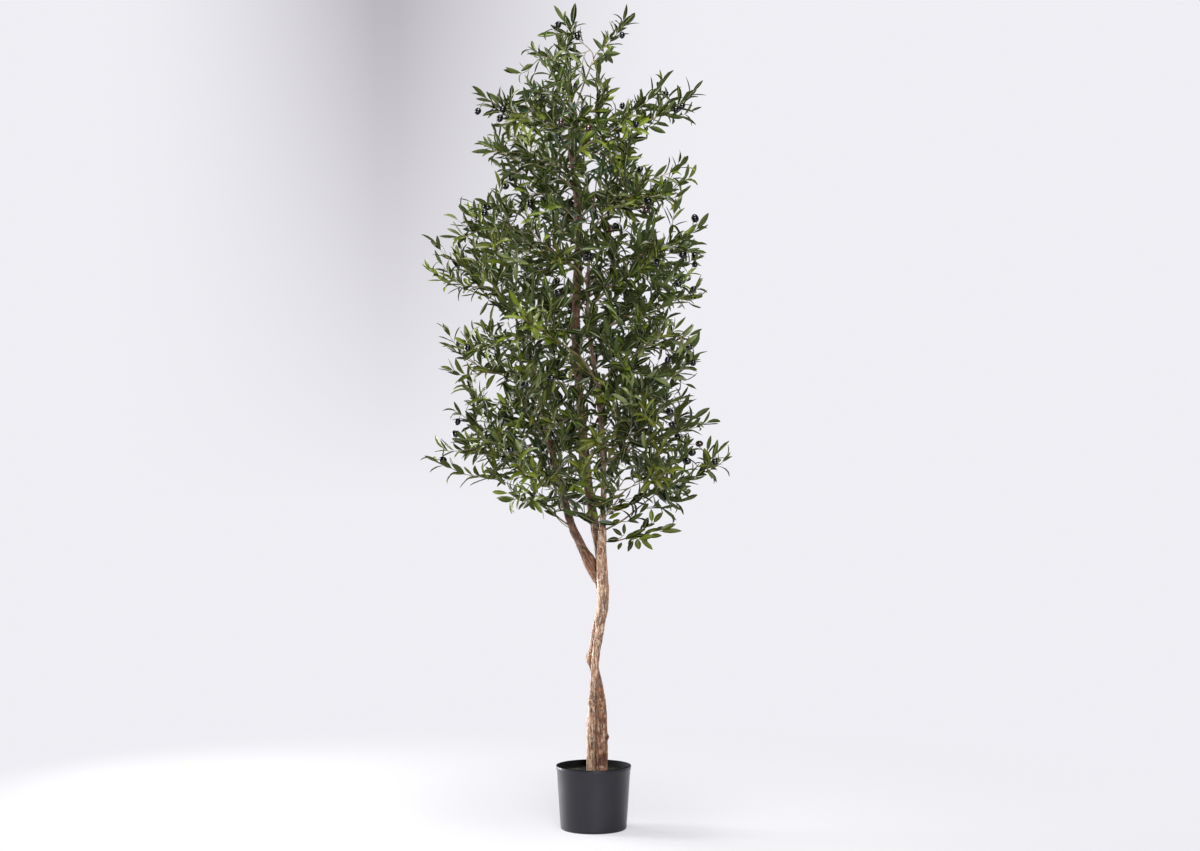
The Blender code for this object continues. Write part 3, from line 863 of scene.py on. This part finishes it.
def bark_relief(place, seed):
    """How far bark stands out at a place on the straightened limb."""
    swell = BARK_LEVEL
    for *scales, height in BARK_SWELLINGS:
        swell += height * relief_noise(place, seed, *scales)
    *scales, depth = BARK_GROOVE
    groove = max(0.0, 1 - abs(relief_noise(place, seed, *scales)) / BARK_GROOVE_WIDTH)
    return swell - depth * groove


def knot_relief(name, point, compass, radius):
    """How far the knots of a limb stand out at a point on it."""
    swell = 0.0
    for height, angle, width, stand in KNOTS[name]:
        if abs(point.z - height) < 4 * width:
            turn = (compass - math.radians(angle) + math.pi) % math.tau - math.pi
            distance = math.hypot(turn * radius, (point.z - height) * 0.7)
            swell += stand * math.exp(-((distance / width) ** 2))
    return swell


def make_bark(name, limb, nodes, material, seed):
    """A tube along a limb with the relief of its bark, which the finish follows too."""
    mesh = stem_mesh(name, [limb], BARK_SIDES)
    mesh.update()
    tree = tree_of(limb.points)
    normals = [vert.normal.copy() for vert in mesh.vertices]
    places = []
    for vert, normal in zip(mesh.vertices, normals):
        index = tree.find(vert.co)[1]
        outward = vert.co - limb.points[index]
        compass = math.atan2(outward.y, outward.x)
        radius = limb.radii[index]
        length = index * BARK_STEP + outward.dot(heading_at(limb.points, index))
        place = (radius * math.cos(compass), radius * math.sin(compass), length)
        places.append(place)
        swell = bark_relief(place, seed) + knot_relief(name, vert.co, compass, radius)
        vert.co += normal * swell * min(1.0, radius / BARK_FULL_RADIUS)
    add_place(mesh, places)
    piece = add_piece("bark_" + name, mesh, [material])
    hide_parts(*nodes)


def tree_of(points):
    """A tree that finds the nearest of the points."""
    tree = KDTree(len(points))
    for index, point in enumerate(points):
        tree.insert(point, index)
    tree.balance()
    return tree


def add_place(mesh, places):
    """Gives the mesh the places on the straightened limb that bark is drawn by."""
    attribute = mesh.attributes.new("bark_place", "FLOAT_VECTOR", "POINT")
    attribute.data.foreach_set("vector", np.array(places, np.float32).ravel())


def make_limbs():
    """Bark on the stems and leaders. Returns every limb, for boughs to grow from."""
    front = whole_rings("trunk_front")
    back = whole_rings("trunk_back")[:-1] + whole_rings("bough_left")
    middle = whole_rings("bough_middle")
    foot, foot_radius = middle[0]
    middle.insert(0, (foot - (middle[1][0] - foot) * MIDDLE_LEADER_ROOT, foot_radius))
    limbs = {
        "front_stem": Limb(front, BARK_STEP),
        "back_stem": Limb(back, BARK_STEP),
        "middle_leader": Limb(middle, BARK_STEP),
    }
    for limb in limbs.values():
        limb.thin_tip()
    limbs["front_stem"].narrow(*FRONT_STEM_NARROWS)
    barks = {name: bark("bark_" + name, *look) for name, look in BARKS.items()}
    make_bark("front_stem", limbs["front_stem"], ["trunk_front"], barks["pale"], 1)
    make_bark("back_stem", limbs["back_stem"], ["trunk_back", "bough_left"], barks["brown"], 2)
    make_bark("middle_leader", limbs["middle_leader"], ["bough_middle"], barks["brown"], 3)
    make_side_boughs(limbs, barks["young"])
    return limbs


def make_side_boughs(limbs, material):
    """The thin side boughs, each from inside the leader that it leaves."""
    leaders = list(limbs.values())
    names = sorted(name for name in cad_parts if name.startswith("bough_"))
    names = [name for name in names if name not in ("bough_left", "bough_middle")]
    lumpiness, lumps = SIDE_BOUGH_LUMPS
    stems = []
    for name in names:
        rings = [(middle, radius) for middle, radius, _ in rings_of(name)]
        rings[0] = (nearest_on(leaders, rings[0][0]), rings[1][1] * SIDE_BOUGH_FLARE)
        limb = Limb(rings, SIDE_BOUGH_STEP)
        limbs[name] = limb
        radii = [radius * (1 + lumpiness * noise.noise(point * lumps))
                 for point, radius in zip(limb.points, limb.radii)]
        stems.append(Stem(limb.points, radii))
    mesh = stem_mesh("side_boughs", stems, SIDE_BOUGH_SIDES)
    add_place(mesh, [vert.co for vert in mesh.vertices])
    piece = add_piece("bark_side_boughs", mesh, [material])
    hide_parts(*names)


def nearest_on(limbs, point):
    places = [place for limb in limbs for place in limb.points]
    return min(places, key=lambda place: (place - point).length).copy()


class Mass:
    """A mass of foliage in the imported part, which says how far twigs may grow."""

    def __init__(self, node, leaders):
        self.node = node
        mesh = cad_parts[node].data
        corners = [vert.co.copy() for vert in mesh.vertices]
        self.surface = BVHTree.FromPolygons(corners, [tuple(face.vertices) for face in mesh.polygons])
        self.low, self.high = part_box(node)
        lines = tree_of([point for leader in leaders for point in leader.points[::10]])
        self.tip = max(corners, key=lambda corner: lines.find(corner)[2])
        self.ends = []

    def depth(self, point):
        """How far inside the mass a point is; negative outside."""
        distance = self.surface.find_nearest(point)[3]
        normal = self.surface.ray_cast(point, UP)[1]
        return distance if normal is not None and normal.z > 0 else -distance


class Spray:
    """What grows in one group of masses: stems, leaves and olives."""

    def __init__(self):
        self.stems = []
        self.leaves = []
        self.olives = []

    def leaf(self, place, direction, facing, *shape):
        """A leaf with its upper face as near to facing as its direction allows.

        Its shape is its length, width, bend, twist and tint.
        """
        facing = (facing - direction * facing.dot(direction)).normalized()
        self.leaves.append((*place, *direction, *facing, *shape))


def take_off(limbs, tip):
    """Where on the limbs a bough for this tip leaves, with the heading and radius there."""
    best = None
    for limb in limbs:
        for index in range(0, len(limb.points), 2):
            point = limb.points[index]
            rise = tip.z - point.z
            if rise < BOUGH_LEAST_RISE or point.z < CROWN_FOOT:
                continue
            out = math.hypot(tip.x - point.x, tip.y - point.y)
            cost = (tip - point).length + BOUGH_RISE_COST * abs(rise - BOUGH_RISE * out)
            if best is None or cost < best[0]:
                best = (cost, point.copy(), heading_at(limb.points, index), limb.radii[index])
    return best[1:]


def arch(start, leave, end, arrive, wobble, rng):
    """A curved line that leaves its start and reaches its end in the headings given."""
    length = (end - start).length
    count = max(3, round(length / POINT_STEP) + 1)
    handles = start + leave * length * ARCH_PULL, end - arrive * length * ARCH_PULL
    points = interpolate_bezier(start, *handles, end, count)
    offset = Vector([rng.uniform(0, WOBBLE_SHIFT) for _ in range(3)])
    for index in range(1, count - 1):
        points[index] += noise.noise_vector(points[index] * WOBBLE_SCALE + offset) * wobble
    return points


def side_of(heading, turn):
    """A direction square to a heading, turned about it from the sky side."""
    across = heading.cross(UP)
    if across.length < 0.05:
        across = heading.cross(Vector((0.0, 1.0, 0.0)))
    across.normalize()
    above = across.cross(heading)
    return across * math.cos(turn) + above * math.sin(turn)


def along(points, distance):
    """The point and heading at a distance along a line."""
    for index in range(len(points) - 1):
        step = (points[index + 1] - points[index]).length
        if distance <= step:
            return points[index].lerp(points[index + 1], distance / step), heading_at(points, index)
        distance -= step
    return points[-1].copy(), heading_at(points, len(points) - 1)


def in_spots(place, spots):
    return any(math.hypot(place.x - x, place.z - z) < radius for x, z, radius in spots)


def thinning(height):
    """The share of the twigs that is kept at a height: fewer near the tip of the crown."""
    return min(1.0, 1.0 - (height - THIN_FROM) * THIN_RATE)


def deal_twigs(masses, rng):
    """Places for the ends of twigs, one to a cell of the crown, each for the mass it is deepest in."""
    low = Vector([min(mass.low[axis] for mass in masses) + BOX_MARGIN for axis in range(3)])
    high = Vector([max(mass.high[axis] for mass in masses) - BOX_MARGIN for axis in range(3)])
    spans = [range(math.floor(low[axis] / TWIG_CELL), math.ceil(high[axis] / TWIG_CELL))
             for axis in range(3)]
    for cell in itertools.product(*spans):
        place = Vector([(number + rng.uniform(*TWIG_CELL_SPREAD)) * TWIG_CELL for number in cell])
        underside = CROWN_UNDERSIDE[0] + CROWN_UNDERSIDE[1] * place.xy.length
        if place.z < underside or any(not low[axis] < place[axis] < high[axis] for axis in range(3)):
            continue
        depths = [mass.depth(place) for mass in masses]
        deepest = max(range(len(masses)), key=lambda index: depths[index])
        reach = TWIG_REACH[0] - TWIG_REACH[1] * place.xy.length
        kept = rng.random() < thinning(place.z) and not in_spots(place, OPEN_SPOTS)
        if in_spots(place, FULL_SPOTS):
            reach = FULL_REACH
            kept = True
        if kept and depths[deepest] > -reach:
            masses[deepest].ends.append(place)


def best_fork(lines, end):
    """Where a twig to this end leaves the lines that are there, and the heading there."""
    best = None
    for points in lines:
        for index in range(1, max(2, int(len(points) * FORK_BEFORE))):
            towards = end - points[index]
            distance = towards.length
            if not FORK_REACH[0] < distance < FORK_REACH[1]:
                continue
            heading = heading_at(points, index)
            cost = distance * (FORK_TURN_COST - heading.dot(towards) / distance)
            if best is None or cost < best[0]:
                best = (cost, points[index], heading)
    return best[1:] if best else None


def grow_mass(mass, limbs, spray, rng):
    """A bough from a limb to the tip of a mass, and twigs that fork until they fill it."""
    start, lean, girth = take_off(limbs, mass.tip)
    outward = (mass.tip - start).normalized()
    end = mass.tip - outward * LEAF_OVERHANG
    for place in (end, *mass.ends):
        place.z = min(place.z, HIGHEST_END)
    leave = (lean * BOUGH_LEAN + outward).normalized()
    bough = arch(start, leave, end, (outward + UP * BOUGH_LIFT).normalized(), BOUGH_WOBBLE, rng)
    spray.stems.append(tapered(bough, (min(BOUGH_TAPER[0], girth * BOUGH_GIRTH), BOUGH_TAPER[1])))
    leafy(bough, spray, pick_tint(end, rng), rng)
    lines = [bough]
    for twig_end in sorted(mass.ends, key=lambda place: (place - start).length):
        fork = best_fork(lines, twig_end)
        if fork is None:
            continue
        place, heading = fork
        towards = (twig_end - place).normalized()
        leave = (heading * TWIG_LEAN + towards).normalized()
        arrive = (towards + outward * TWIG_OUT + UP * TWIG_LIFT).normalized()
        twig = arch(place, leave, twig_end, arrive, TWIG_WOBBLE, rng)
        spray.stems.append(tapered(twig, TWIG_TAPER, rng.choice((0, 1))))
        leafy(twig, spray, pick_tint(twig_end, rng), rng)
        lines.append(twig)


def grow_low_spray(spray, rng):
    """The spray below the crown, leaf by leaf."""
    for line in LOW_SPRAY_STEMS:
        points = [Vector((x, LOW_SPRAY_DEPTHS[0], z)) for x, z in line]
        spray.stems.append(tapered(points, LOW_SPRAY_TAPER, 1))
    for foot_x, foot_z, tip_x, tip_z, width, tint in LOW_SPRAY_LEAVES:
        depth = LOW_SPRAY_DEPTHS[foot_x < STEM_SIDE]
        start = Vector((foot_x, depth, foot_z))
        reach = Vector((tip_x, depth + rng.uniform(-0.012, 0.006), tip_z)) - start
        facing = Vector((rng.uniform(-0.6, 0.2), -1.0, rng.uniform(0.2, 1.0)))
        spray.leaf(start, reach.normalized(), facing, reach.length, width,
                   rng.uniform(-0.35, 0.15), rng.uniform(-0.2, 0.2), TINTS.index(tint))


def grow_low_twigs(limbs, spray, rng):
    """The thin twigs between the stems, with their leaves."""
    for line in LOW_TWIGS:
        points = [Vector(place) for place in line]
        points[0] = nearest_on(limbs, points[0])
        twig = Limb([(point, TWIG_TAPER[0]) for point in points], POINT_STEP).points
        spray.stems.append(tapered(twig, TWIG_TAPER))
        leafy(twig, spray, pick_tint(points[-1], rng), rng)


def pick_tint(place, rng):
    """A tint for a spray at a place: the young and pale ones are more often at the outside."""
    outer = (place.xy.length - OUTSIDE[0]) / (OUTSIDE[1] - OUTSIDE[0])
    weights = OUTER_TINT_WEIGHTS if rng.random() < outer else TINT_WEIGHTS
    return rng.choices(range(len(TINTS)), weights)[0]


def leafy(points, spray, tint, rng):
    """Opposite pairs of leaves up to the end of a line, each pair square to the last."""
    length = sum((high - low).length for low, high in zip(points, points[1:]))
    turn = rng.uniform(0, math.tau)
    distance = max(LEAFLESS_FOOT, length - max(LEAFY_LENGTH, length * LEAFY_SHARE))
    while distance < length - LEAFLESS_END:
        place, heading = along(points, distance)
        near_end = distance / length
        for half in (0, math.pi):
            add_leaf(spray, place, heading, turn + half, near_end, tint, rng)
        if place.y > OLIVES_BEHIND and rng.random() < OLIVE_CHANCE * near_end:
            side = side_of(heading, turn + math.pi / 2)
            hang = (side + heading * OLIVE_FORWARD - UP * rng.uniform(*OLIVE_SAG)).normalized()
            hang_olive(spray, place, place + hang * rng.uniform(*STALK_LENGTH), rng)
        turn += math.pi / 2 + rng.uniform(-LEAF_PAIR_TURN, LEAF_PAIR_TURN)
        distance += LEAF_PAIR_STEP * rng.uniform(*LEAF_PAIR_SPREAD) * (1.1 - 0.25 * near_end)
    place, heading = along(points, length)
    add_leaf(spray, place, heading, turn, 1.0, tint, rng, at_tip=True)


def add_leaf(spray, place, heading, turn, near_end, tint, rng, at_tip=False):
    """A leaf that leans forward from its twig, its upper face towards the twig's end and the sky."""
    if at_tip:
        angle = math.radians(rng.uniform(*TIP_LEAF_ANGLES))
    else:
        angle = math.radians(rng.uniform(*LEAF_ANGLES) - LEAF_CLOSING * near_end)
    side = side_of(heading, turn + rng.uniform(-LEAF_ROLL, LEAF_ROLL))
    direction = (heading * math.cos(angle) + side * math.sin(angle) + UP * LEAF_RISE).normalized()
    facing = heading * math.sin(angle) - side * math.cos(angle) + UP * rng.uniform(*LEAF_SKY)
    size = rng.uniform(*LEAF_LENGTH) * (1.0 - LEAF_SHRINK * near_end * rng.random())
    if rng.random() < STRAY_TINT:
        tint = pick_tint(place, rng)
    spray.leaf(place, direction, facing, size, size * LEAF_SLENDER * rng.uniform(*LEAF_WIDTHS),
               rng.gauss(*LEAF_BEND), rng.gauss(*LEAF_TWIST), tint)


def hang_olive(spray, place, middle, rng):
    """An olive on a short stalk from a place on a twig."""
    stalk = [place, place.lerp(middle, STALK_BEND) + UP * 0.001, middle]
    spray.stems.append(tapered(stalk, STALK_TAPER, 1))
    size = rng.uniform(*OLIVE_SIZES)
    brown = rng.random() < OLIVE_BROWN_CHANCE
    spray.olives.append((middle, (middle - place).normalized(), size, brown))


def hang_seen_olives(sprays, rng):
    """Olives where they show at the front, each from the foremost twig near its place."""
    twigs = [(spray, point) for spray in sprays for stem in spray.stems for point in stem.points]
    for x, z in SEEN_OLIVES:
        apart = [math.hypot(point.x - x, point.z - z) for _, point in twigs]
        near = [twig for twig, distance in zip(twigs, apart) if distance < OLIVE_REACH]
        near = near or [twigs[apart.index(min(apart))]]
        spray, point = min(near, key=lambda twig: twig[1].y)
        nearer = (point.y - CAMERA_PLACE[1]) / -CAMERA_PLACE[1]
        height = (z - CAMERA_PLACE[2]) * nearer + CAMERA_PLACE[2]
        hang_olive(spray, point, Vector((x * nearer, point.y - OLIVE_LEAD, height)), rng)


def faces_of(work):
    """The corners, the faces and the slots of the faces of a shape, which is freed."""
    work.verts.index_update()
    corners = np.array([vert.co for vert in work.verts])
    faces = [[vert.index for vert in face.verts] for face in work.faces]
    slots = np.array([face.material_index for face in work.faces])
    work.free()
    return corners, faces, slots


def leaf_template():
    """A leaf of length 1 and half width 1, as two sheets welded at their edge.

    The top has slot 0 and a pale midrib with slot 1, the underside slot 2.
    """
    work = bmesh.new()
    for strips, ribs in ((3, (-1.0, -LEAF_RIB, LEAF_RIB, 1.0)), (2, (-1.0, 0.0, 1.0))):
        top = strips == 3
        made = bmesh.ops.create_grid(work, x_segments=LEAF_SEGMENTS, y_segments=strips, size=1.0)
        for vert in made["verts"]:
            share, width = LEAF_OUTLINE[round((vert.co.x + 1) / 2 * LEAF_SEGMENTS)]
            across = ribs[round((vert.co.y + 1) / 2 * strips)]
            height = LEAF_FOLD * width if abs(across) == 1.0 else (0.0 if top else -LEAF_THICK * width)
            vert.co = (share, across * width, height)
        for face in {face for vert in made["verts"] for face in vert.link_faces}:
            middle = abs(sum(vert.co.y for vert in face.verts)) < 0.01
            face.material_index = 2 if not top else (1 if middle else 0)
            if not top:
                face.normal_flip()
    bmesh.ops.remove_doubles(work, verts=work.verts, dist=0.0005)
    return faces_of(work)


def bent_leaves(template, leaves):
    """Every leaf's corners: the template scaled, bent along its length, twisted and put in place."""
    rows = np.array(leaves)
    place, direction, facing = (rows[:, None, first:first + 3] for first in (0, 3, 6))
    length, width, bend, twist = (rows[:, column:column + 1] for column in (9, 10, 11, 12))
    across = np.cross(facing, direction)
    share, side, height = (template[:, axis][None, :] for axis in range(3))
    bend = np.where(np.abs(bend) < 0.02, 0.02, bend)
    forward = length * np.sin(bend * share) / bend
    lift = length * (1 - np.cos(bend * share)) / bend
    turned_by = twist * share
    side_part = side * width / 2
    up_part = height * width / 2
    out = side_part * np.cos(turned_by) - up_part * np.sin(turned_by)
    above = side_part * np.sin(turned_by) + up_part * np.cos(turned_by)
    forward = forward - above * np.sin(bend * share)
    lift = lift + above * np.cos(bend * share)
    return place + forward[..., None] * direction + lift[..., None] * facing + out[..., None] * across


def joined_mesh(name, corners, faces, slots):
    """A mesh of many copies: corners of shape (copies, corners, 3), one copy's faces, all slots."""
    copies, count = corners.shape[:2]
    all_faces = [[copy * count + corner for corner in face] for copy in range(copies) for face in faces]
    mesh = bpy.data.meshes.new(name)
    mesh.from_pydata(corners.reshape(-1, 3), [], all_faces)
    mesh.polygons.foreach_set("material_index", slots.astype(np.int32).ravel())
    mesh.shade_smooth()
    mesh.set_sharp_from_angle(angle=math.radians(LEAF_CREASE))
    return mesh


def leaf_finishes():
    """The tints of the upper faces, then the midrib and the underside."""
    finishes = [Finish("leaf_" + tint, colour, 0.36, Specular_IOR_Level=0.20)
                for tint, colour in LEAF_COLOURS.items()]
    finishes.append(Finish("leaf_midrib", RIB_COLOUR, 0.5, Specular_IOR_Level=0.25))
    finishes.append(Finish("leaf_underside", UNDER_COLOUR, 0.65, Specular_IOR_Level=0.20))
    return [finish.material for finish in finishes]


def twig_finishes():
    tan = Finish("twig_tan", (0.175, 0.134, 0.064), 0.6)
    green = Finish("twig_green", (0.120, 0.135, 0.045), 0.55)
    return [tan.material, green.material]


def make_leaves(name, nodes, spray, finishes):
    corners, faces, slots = leaf_template()
    tints = np.array([leaf[-1] for leaf in spray.leaves])
    rib, underside = len(TINTS), len(TINTS) + 1
    slot_rows = np.where(slots == 0, tints[:, None], np.where(slots == 1, rib, underside))
    mesh = joined_mesh(name, bent_leaves(corners, spray.leaves), faces, slot_rows)
    piece = add_piece("leaves_" + name, mesh, finishes)
    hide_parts(*nodes)


def make_olives(sprays):
    """The olives: long spheroids with a dimple at the stalk, most of them black."""
    work = bmesh.new()
    bmesh.ops.create_uvsphere(work, u_segments=12, v_segments=8, radius=1.0)
    dimple, point = OLIVE_ENDS
    for vert in work.verts:
        z = vert.co.z
        vert.co.z = z + dimple * max(0.0, -z - 0.8) / 0.2 + point * max(0.0, z - 0.8) / 0.2
    corners, faces, _ = faces_of(work)
    placed = []
    browns = []
    for spray in sprays:
        for middle, hang, size, brown in spray.olives:
            turn = hang.to_track_quat("Z", "Y").to_matrix()
            scale = Matrix.Diagonal((OLIVE_WIDTH / 2, OLIVE_WIDTH / 2, OLIVE_LENGTH / 2)) * size
            placed.append(corners @ np.array(turn @ scale).T + np.array(middle))
            browns.append(int(brown))
    mesh = joined_mesh("olives", np.array(placed), faces, np.repeat(browns, len(faces)))
    black = Finish("olive_black", (0.004, 0.004, 0.005), 0.2, Specular_IOR_Level=0.4)
    brown = Finish("olive_brown", (0.024, 0.010, 0.007), 0.22, Coat_Weight=0.3, Coat_Roughness=0.1)
    add_piece("olives", mesh, [black.material, brown.material])


def make_foliage(limbs):
    """Boughs, twigs, leaves and olives in every mass, gathered by groups of masses."""
    noise.seed_set(CROWN_SEED)  # without it noise_vector gives other values in each run
    leaders = [limbs[name] for name in ("front_stem", "back_stem", "middle_leader")]
    groups = {name: [Mass(node, leaders) for node in sorted(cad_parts) if node.startswith(start)]
              for name, start in SPRAYS.items()}
    masses = [mass for name, group in groups.items() if name != "low_right" for mass in group]
    deal_twigs(masses, Random(11))
    leaf_materials = leaf_finishes()
    twig_materials = twig_finishes()
    sprays = []
    for number, (name, group) in enumerate(groups.items()):
        spray = Spray()
        rng = Random(number)
        if name == "low_right":
            grow_low_spray(spray, rng)
            grow_low_twigs(leaders, spray, rng)
        else:
            for mass in group:
                grow_mass(mass, list(limbs.values()), spray, rng)
        sprays.append(spray)
    hang_seen_olives(sprays, Random(12))
    for (name, group), spray in zip(groups.items(), sprays):
        make_leaves(name, [mass.node for mass in group], spray, leaf_materials)
        twigs = stem_mesh(name, spray.stems, TWIG_SIDES)
        add_piece("twigs_" + name, twigs, twig_materials)
    make_olives(sprays)


def make_stage():
    """A pale floor that fades into the pale air round it, so that no edge shows."""
    work = bmesh.new()
    bmesh.ops.create_circle(work, cap_ends=True, radius=STAGE_RADIUS, segments=STAGE_SIDES)
    floor = add_object("studio_floor", mesh_of(work))
    finish = Finish("studio_floor", FLOOR_COLOUR, 0.7)
    length = finish.add("VectorMath", {"operation": "LENGTH"}, {0: finish.place()})["Value"]
    fade = FLOOR_GLOW + (1.0 - FLOOR_GLOW) * finish.band(length, *FLOOR_FADE)
    air = finish.add("Emission", None, {"Color": AIR_COLOUR})[0]
    bounce = finish.add("BsdfDiffuse", None, {"Color": FLOOR_BOUNCE})[0]
    ray = finish.add("LightPath")
    lit = finish.shader.outputs[0]
    seen = finish.mix_shaders(fade, lit, air)
    unseen = finish.mix_shaders(ray["Is Glossy Ray"], bounce, lit)
    finish.show(finish.mix_shaders(ray["Is Camera Ray"], unseen, seen))
    floor.data.materials.append(finish.material)


def make_air():
    """Pale air, dimmer as light than it looks, and greyer towards the upper left."""
    world = bpy.data.worlds.new("studio_air")
    bpy.context.scene.world = world
    world.use_nodes = True
    nodes = Nodes(world.node_tree)
    across, _, upwards = nodes.parts(nodes.add("TexCoord")["Generated"])
    up = nodes.band(upwards, *AIR_SHADE_UP, "LINEAR")
    left = nodes.band(across, *AIR_SHADE_LEFT, "LINEAR")
    far_left = nodes.band(across, *AIR_SHADE_FAR_LEFT, "LINEAR")
    air = nodes.mix(up * (left * far_left) ** AIR_SHADE_POWER, AIR_COLOUR, AIR_SHADE)
    seen = nodes.add("Background", None, {0: air})[0]
    dim = nodes.add("Background", None, {0: AIR_COLOUR, 1: AIR_LIGHT})[0]
    ray = nodes.add("LightPath")["Is Camera Ray"]
    nodes.show(nodes.mix_shaders(ray, dim, seen))


def make_lights():
    for name, (place, target, width, height, power) in SOFT_BOXES.items():
        light = bpy.data.lights.new(name, "AREA")
        light.shape = "RECTANGLE"
        light.size = width
        light.size_y = height
        light.energy = power
        holder = add_object(name, light)
        holder.location = place
        holder.rotation_euler = (Vector(target) - Vector(place)).to_track_quat("-Z", "Y").to_euler()
        holder.visible_camera = False


def make_camera():
    camera = bpy.data.cameras.new("camera")
    camera.lens = CAMERA_LENS
    holder = add_object("camera", camera)
    holder.location = CAMERA_PLACE
    holder.rotation_euler = (math.radians(90), 0.0, 0.0)
    bpy.context.scene.camera = holder


def main():
    bpy.context.scene.view_settings.view_transform = "Standard"
    make_camera()
    make_air()
    make_lights()
    make_stage()
    make_pot()
    make_fill()
    make_foliage(make_limbs())


main()
